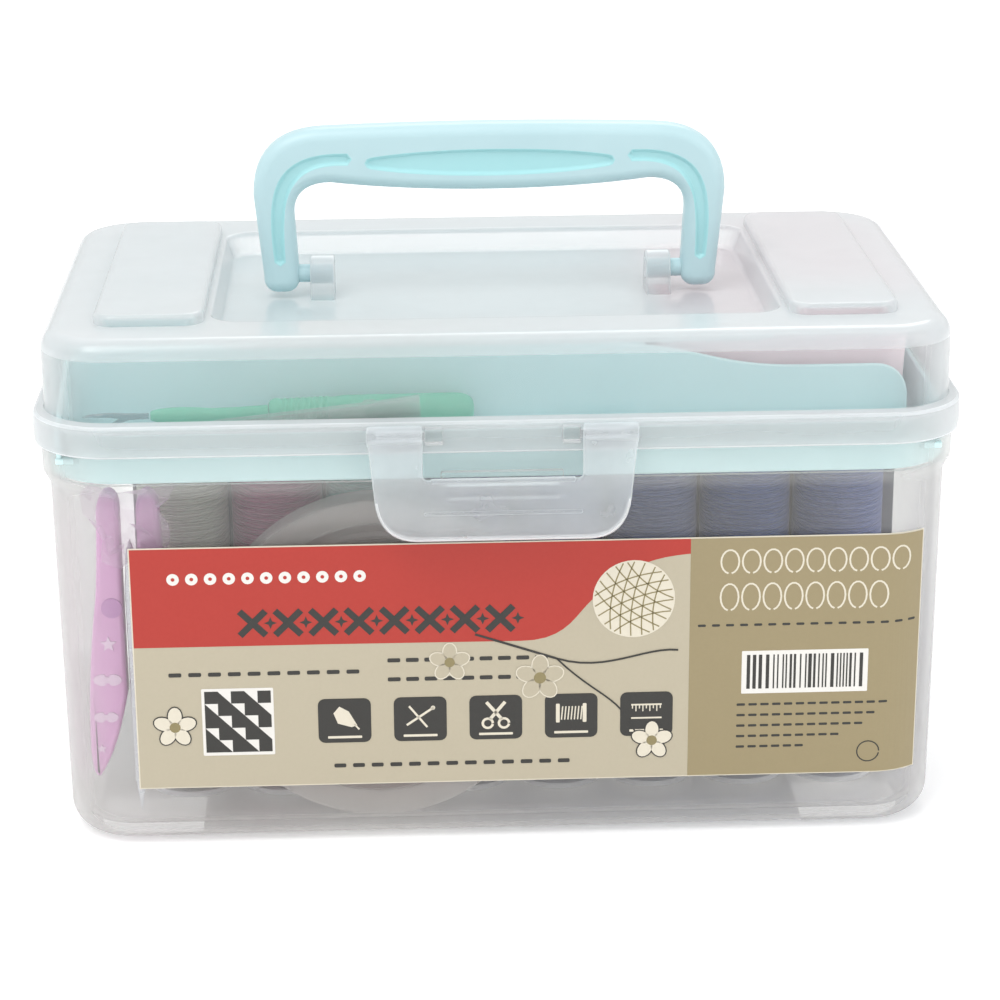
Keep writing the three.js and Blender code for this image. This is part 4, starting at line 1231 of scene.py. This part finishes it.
SPOOL_THREADS = [
    sewing_thread(f"spun_polyester_thread_{i + 1}", *tones) for i, tones in enumerate(THREADS)
]


# Where the ripper's tip and its cap's tip lie, with their yaw and pitch in degrees.
RIPPER = {
    "tip": (-96.5, -46.2, 102.2), "yaw": 4.77, "pitch": 1.16, "neck": 15.8, "grip": 43.2, "end": 91.2,
}
CAP = {"tip": (-65.8, -52.0, 100.7), "yaw": 1.7, "pitch": -1.7, "length": 47.6}


def lying(piece, pose):
    """Lays a piece made along X from the origin where the pose says."""
    turn = Matrix.Rotation(math.radians(pose["yaw"]), 4, "Z")
    turn @= Matrix.Rotation(math.radians(pose["pitch"]), 4, "Y")
    piece.data.transform(Matrix.Translation(Vector(pose["tip"]) * MM) @ turn)
    return piece


ALONG_X = Matrix.Rotation(math.radians(90), 4, "Y")


def ripper():
    """The seam ripper: forked steel blade, slim green neck and swelling grip."""
    fork = plate("ripper_fork", [
        (0, 0), (6.6, -0.2), (8.6, -0.5), (6.6, -1.75), (7.0, -1.9), (8.4, -1.85), (11.0, -0.75),
        (15.4, -0.7), (15.4, 0.7), (11.0, 0.7), (6.0, 0.9), (1.5, 0.55)], -0.4, 0.4, STEEL, 0.12, 2)
    neck, end = RIPPER["neck"], RIPPER["grip"] - 0.2
    neck_profile = [(0, neck), (0.9, neck), (1.2, neck + 0.4), (1.6, neck + 2), (1.85, neck + 5)]
    neck_profile += [(1.9, neck + 8), (1.75, neck + 11), (1.5, neck + 14), (1.6, neck + 20)]
    neck_profile += [(1.95, end - 0.4), (1.8, end), (0, end)]
    stem = lathe("ripper_neck", neck_profile, GREEN, 32, ALONG_X)
    start, end = RIPPER["grip"], RIPPER["end"]
    grip_profile = [(0, start), (2.4, start), (3.1, start + 0.5), (3.5, start + 1.4)]
    for i in range(9):
        grip_profile += [(3.5 + 0.04 * i, start + 2.4 + i * 1.4), (3.2 + 0.04 * i, start + 3.1 + i * 1.4)]
    grip_profile += [(3.88, start + 18), (3.9, end - 5.0), (3.75, end - 2.8), (3.3, end - 1.3)]
    grip_profile += [(2.4, end - 0.3), (1.6, end), (0, end)]
    grip = lathe("ripper_grip", grip_profile, GREEN, 36, ALONG_X)
    return [polish(lying(piece, RIPPER)) for piece in (fork, stem, grip)]


def ripper_cap():
    """The ripper's clear tapered cap, open at its wide end, with a moulded collar."""
    end = CAP["length"]
    profile = [(0, 0), (1.2, 0), (1.8, 0.15), (2.0, 0.6), (4.1, 34.0), (4.2, 34.4), (4.6, 34.7)]
    profile += [(4.7, 35.1), (4.7, 36.8), (4.6, 37.3), (4.35, 37.7), (4.4, 38.4), (5.25, end - 0.3)]
    profile += [(5.15, end), (4.75, end), (4.65, end - 0.3), (3.8, 37.0), (3.4, 34.0), (1.3, 2.2), (0, 2.0)]
    return polish(lying(lathe("ripper_cap", profile, CLEAR_STYRENE, 40, ALONG_X), CAP))


def standing_y(x, y, z):
    """A placement that stands a turned piece on edge with its axis along Y, starting at y."""
    return Matrix.Translation((x, y, z)) @ Matrix.Rotation(math.radians(-90), 4, "X")


def round_case():
    """The round case on edge: blush dish with moulded rings, and a clear outer ring."""
    low, high = node_box("round_case_ring")
    place = standing_y((low.x + high.x) / 2, low.y, (low.z + high.z) / 2)
    radius = (high.z - low.z) / 2
    dish_profile = [(0, 3.3), (9.5, 3.3), (10.5, 3.7), (12.0, 4.2)]
    for ridge in (18.0, 24.0, 29.5):
        dish_profile += [(ridge - 1.2, 4.2), (ridge - 0.4, 3.4), (ridge + 0.4, 3.4), (ridge + 1.2, 4.2)]
    dish_profile += [(radius - 6.0, 4.0), (radius - 4.6, 3.4), (radius - 3.0, 2.4), (radius - 2.4, 3.4)]
    dish_profile += [(radius - 2.0, 9.6), (radius - 2.4, 10.0), (0, 10.0)]
    dish = lathe("case_dish", dish_profile, CLEAR_BLUSH, 96, place)
    section = [(6.4, 0.5), (5.7, 0.15), (1.0, 0.0), (0.3, 0.25), (0.0, 1.0), (0.0, 7.2), (0.4, 7.6)]
    section += [(1.2, 7.6), (1.3, 7.2), (1.3, 2.0), (1.6, 1.7), (6.2, 1.7)]
    rim_profile = [(radius - inwards, depth) for inwards, depth in section]
    rim = lathe("case_ring", rim_profile, CLEAR_RING, 96, place)
    return polish(dish), polish(rim)


SNIPS_MIDDLE = -86.5


def snips_outline(side):
    """One grip's outline: a pointed lower end, a full belly and a rounded top."""
    low, high = 14.0, 86.0
    path = [(2.0, low + 22)] + bezier((2.0, low + 22), (3.6, low + 14), (5.4, low + 7), (9.2, low + 1.2), 8)
    path += bezier((9.2, low + 1.2), (10.4, low + 0.6), (11.2, low + 2.6), (11.3, low + 8), 6)
    path += bezier((11.3, low + 8), (11.2, low + 24), (9.6, low + 38), (8.4, low + 46), 10)
    path += bezier((8.4, low + 46), (7.8, low + 52), (7.4, high - 12), (7.2, high - 4), 6)
    path += bezier((7.2, high - 4), (6.9, high - 1.4), (5.8, high), (4.6, high), 5)
    path += bezier((4.6, high), (3.2, high), (2.0, high - 1.4), (2.0, high - 4), 5)
    outline = [(SNIPS_MIDDLE + side * x, z) for x, z in path]
    return outline if side > 0 else outline[::-1]


def star(u, z, outer, inner, points=5):
    """A star's outline with its outer and inner radius."""
    return [
        (u + r * math.sin(math.pi * i / points), z + r * math.cos(math.pi * i / points))
        for i, r in enumerate([outer, inner] * points)][::-1]


def petal_bow(u, z, size):
    """A small bow: two rounded wings and a knot."""
    wings = [
        [(u + s * size * (0.12 + 0.9 * math.cos(t) ** 2 * (0.6 + 0.4 * math.cos(t))),
          z + size * 0.75 * math.sin(t) * (0.35 + 0.65 * abs(math.cos(t))))
         for t in (math.radians(a) for a in range(-90, 91, 15))]
        for s in (-1, 1)]
    wings[0].reverse()
    return wings + [disc(u, z, size * 0.26, 12)]


def snips_grip(side):
    """One pillow-edged grip of the thread snips, with raised stars, dots and bows."""
    name = "snips_grip_left" if side < 0 else "snips_grip_right"
    low, high = node_box(name)
    grip = plate(name, snips_outline(side), low.y + 0.35, high.y - 0.35, ORCHID, 1.1, 4)
    middle = SNIPS_MIDDLE
    shapes = [star(middle + side * 5.8, 49.0, 2.0, 0.9), star(middle + side * 8.6, 22.5, 1.2, 0.55)]
    shapes += petal_bow(middle + side * 6.4, 40.0, 3.3) + petal_bow(middle + side * 7.2, 30.5, 2.9)
    motifs = [plate("motif", shape, low.y, low.y + 1.0, ORCHID_PRINT, 0.14, 2) for shape in shapes]
    pivot = disc(middle + side * 4.6, 58.0, 2.5, 24)
    motifs.append(plate("motif", pivot, low.y, low.y + 1.0, ORCHID_DEEP, 0.2, 2))
    return polish(gather(grip, *motifs))


def snips_blades():
    """The snips' pointed steel, a flat tongue between the grips."""
    low, high = node_box("snips_blades")
    outline = [(SNIPS_MIDDLE + x, z) for x, z in (
        (0, low.z), (1.2, low.z + 8), (1.55, high.z - 12), (0.9, high.z - 3), (0, high.z),
        (-0.9, high.z - 3), (-1.55, high.z - 12), (-1.2, low.z + 8))]
    return polish(plate("snips_steel", outline, low.y, high.y, STEEL, 0.2, 2))


def crumpled_film():
    """A scrap of thin pink-tinted bag film, creased in sharp folds round the snips' top."""
    shape = bmesh.new()
    bmesh.ops.create_grid(shape, x_segments=6, y_segments=7, size=0.5)
    scatter = random.Random(11)
    for vertex in shape.verts:
        u, v = vertex.co.x, vertex.co.y
        ragged = 1 + 0.25 * scatter.uniform(-1, 1) * (abs(u) > 0.4 or abs(v) > 0.4)
        taper = 0.75 + 0.35 * v
        vertex.co = Vector((
            -86.5 + 22.0 * u * taper * ragged + scatter.uniform(-1.0, 1.0),
            -58.2 + scatter.uniform(0.0, 2.4),
            79.0 + 18.0 * v * ragged + scatter.uniform(-1.2, 1.2))) * MM
    bmesh.ops.triangulate(shape, faces=shape.faces)
    mesh = bpy.data.meshes.new("film")
    shape.to_mesh(mesh)
    shape.free()
    mesh.materials.append(BAG_FILM)
    piece = on_stage("film", mesh)
    thick = piece.modifiers.new("thickness", "SOLIDIFY")
    thick.thickness = 0.12 * MM
    return bake(piece)


def spool_shade_sheet():
    """A thin grey sheet behind the row of spools: painted shade in the gaps between them."""
    return polish(block("shade_sheet", (-88.0, -19.8, 6.0), (98.0, -19.55, 87.6), SHADE_SHEET, 0.1))


# ------------------------------------------------------------------ stage

def studio():
    """A pale floor, a soft white world and soft lamps."""
    bpy.ops.mesh.primitive_plane_add(size=12, location=(0, 0, 0))
    floor = bpy.context.object
    floor.name = "floor"
    floor.data.materials.append(floor_paint("matt_pale_floor"))
    world = bpy.data.worlds.new("soft_studio")
    bpy.context.scene.world = world
    world.use_nodes = True
    background = world.node_tree.nodes["Background"]
    background.inputs["Color"].default_value = (1, 1, 1, 1)
    background.inputs["Strength"].default_value = 0.85
    lamp("key", (-0.7, -0.7, 1.7), 1.2, 14)
    lamp("fill", (1.2, -0.9, 0.9), 1.4, 5)
    lamp("back", (0.3, 1.5, 1.4), 1.2, 8)


def lamp(name, place, size, power):
    """A round soft lamp that points at the origin; size in metres, power in watts."""
    data = bpy.data.lights.new(name, "AREA")
    data.shape = "DISK"
    data.size = size
    data.energy = power
    light = on_stage(name, data)
    light.location = place
    light.rotation_euler = (-Vector(place)).to_track_quat("-Z", "Y").to_euler()


# The camera's angles in degrees, its distance and target in metres, and its lens.
VIEW = {
    "up": 18.685, "turn": -2.279, "roll": 0.413, "distance": 0.728, "target": (0.002, 0, 0.0644),
    "lens": 104.1,
}


def camera():
    """A long lens a little above the box and a little to its left."""
    up, turn, roll = (math.radians(VIEW[key]) for key in ("up", "turn", "roll"))
    target = Vector(VIEW["target"])
    back = Vector((math.sin(turn) * math.cos(up), -math.cos(turn) * math.cos(up), math.sin(up)))
    across = (-back).cross(Vector((0, 0, 1))).normalized()
    rise = across.cross(-back)
    right = across * math.cos(roll) - rise * math.sin(roll)
    top = across * math.sin(roll) + rise * math.cos(roll)
    data = bpy.data.cameras.new("camera")
    data.lens = VIEW["lens"]
    data.sensor_width = 36
    view = on_stage("camera", data)
    turned = Matrix((right, top, back)).transposed().to_4x4()
    view.matrix_world = Matrix.Translation(target + back * VIEW["distance"]) @ turned
    bpy.context.scene.camera = view


# ------------------------------------------------------------------ assembly

def fit(piece, body, slot, *nodes):
    """Hangs a finished piece on its body, in place of its CAD nodes."""
    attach(piece, body)
    if nodes:
        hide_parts(*nodes)


def assemble():
    """Builds every piece and hangs it on its body."""
    camera()
    studio()
    fit(tub(), "base", "clear_tub", "base_tub")
    fit(lid(), "lid", "clear_lid", "lid_shell")
    fit(handle(), "handle", "aqua_handle", "carry_handle")
    fit(latch(), "latch", "clear_latch", "front_latch")
    fit(latch_highlight_bead(), "latch", "clear_latch")
    fit(tray(), "tray", "aqua_tray", "lift_out_tray")
    fit(small_tray(), "small_tray", "pink_tray", "small_parts_tray")
    for piece in label():
        fit(piece, "base", "printed_label", "front_label")
    for number in range(1, 9):
        core, thread = spool(number)
        fit(core, "base", "spool_core", f"spool_core_{number}")
        fit(thread, "base", f"thread_{number}", f"spool_thread_{number}")
    fork, neck, grip = ripper()
    fit(fork, "tray", "tool_steel", "seam_ripper_fork")
    fit(neck, "tray", "green_grip", "seam_ripper_handle")
    fit(grip, "tray", "green_grip", "seam_ripper_grip")
    fit(ripper_cap(), "tray", "clear_cap", "seam_ripper_cap")
    dish, ring = round_case()
    fit(dish, "base", "white_case", "round_case_dish")
    fit(ring, "base", "clear_ring", "round_case_ring")
    fit(snips_grip(-1), "base", "orchid_grip", "snips_grip_left")
    fit(snips_grip(1), "base", "orchid_grip", "snips_grip_right")
    fit(snips_blades(), "base", "tool_steel", "snips_blades")
    fit(crumpled_film(), "base", "clear_ring")
    fit(spool_shade_sheet(), "base", "spool_core")


assemble()
bpy.context.scene.view_settings.view_transform = "Standard"
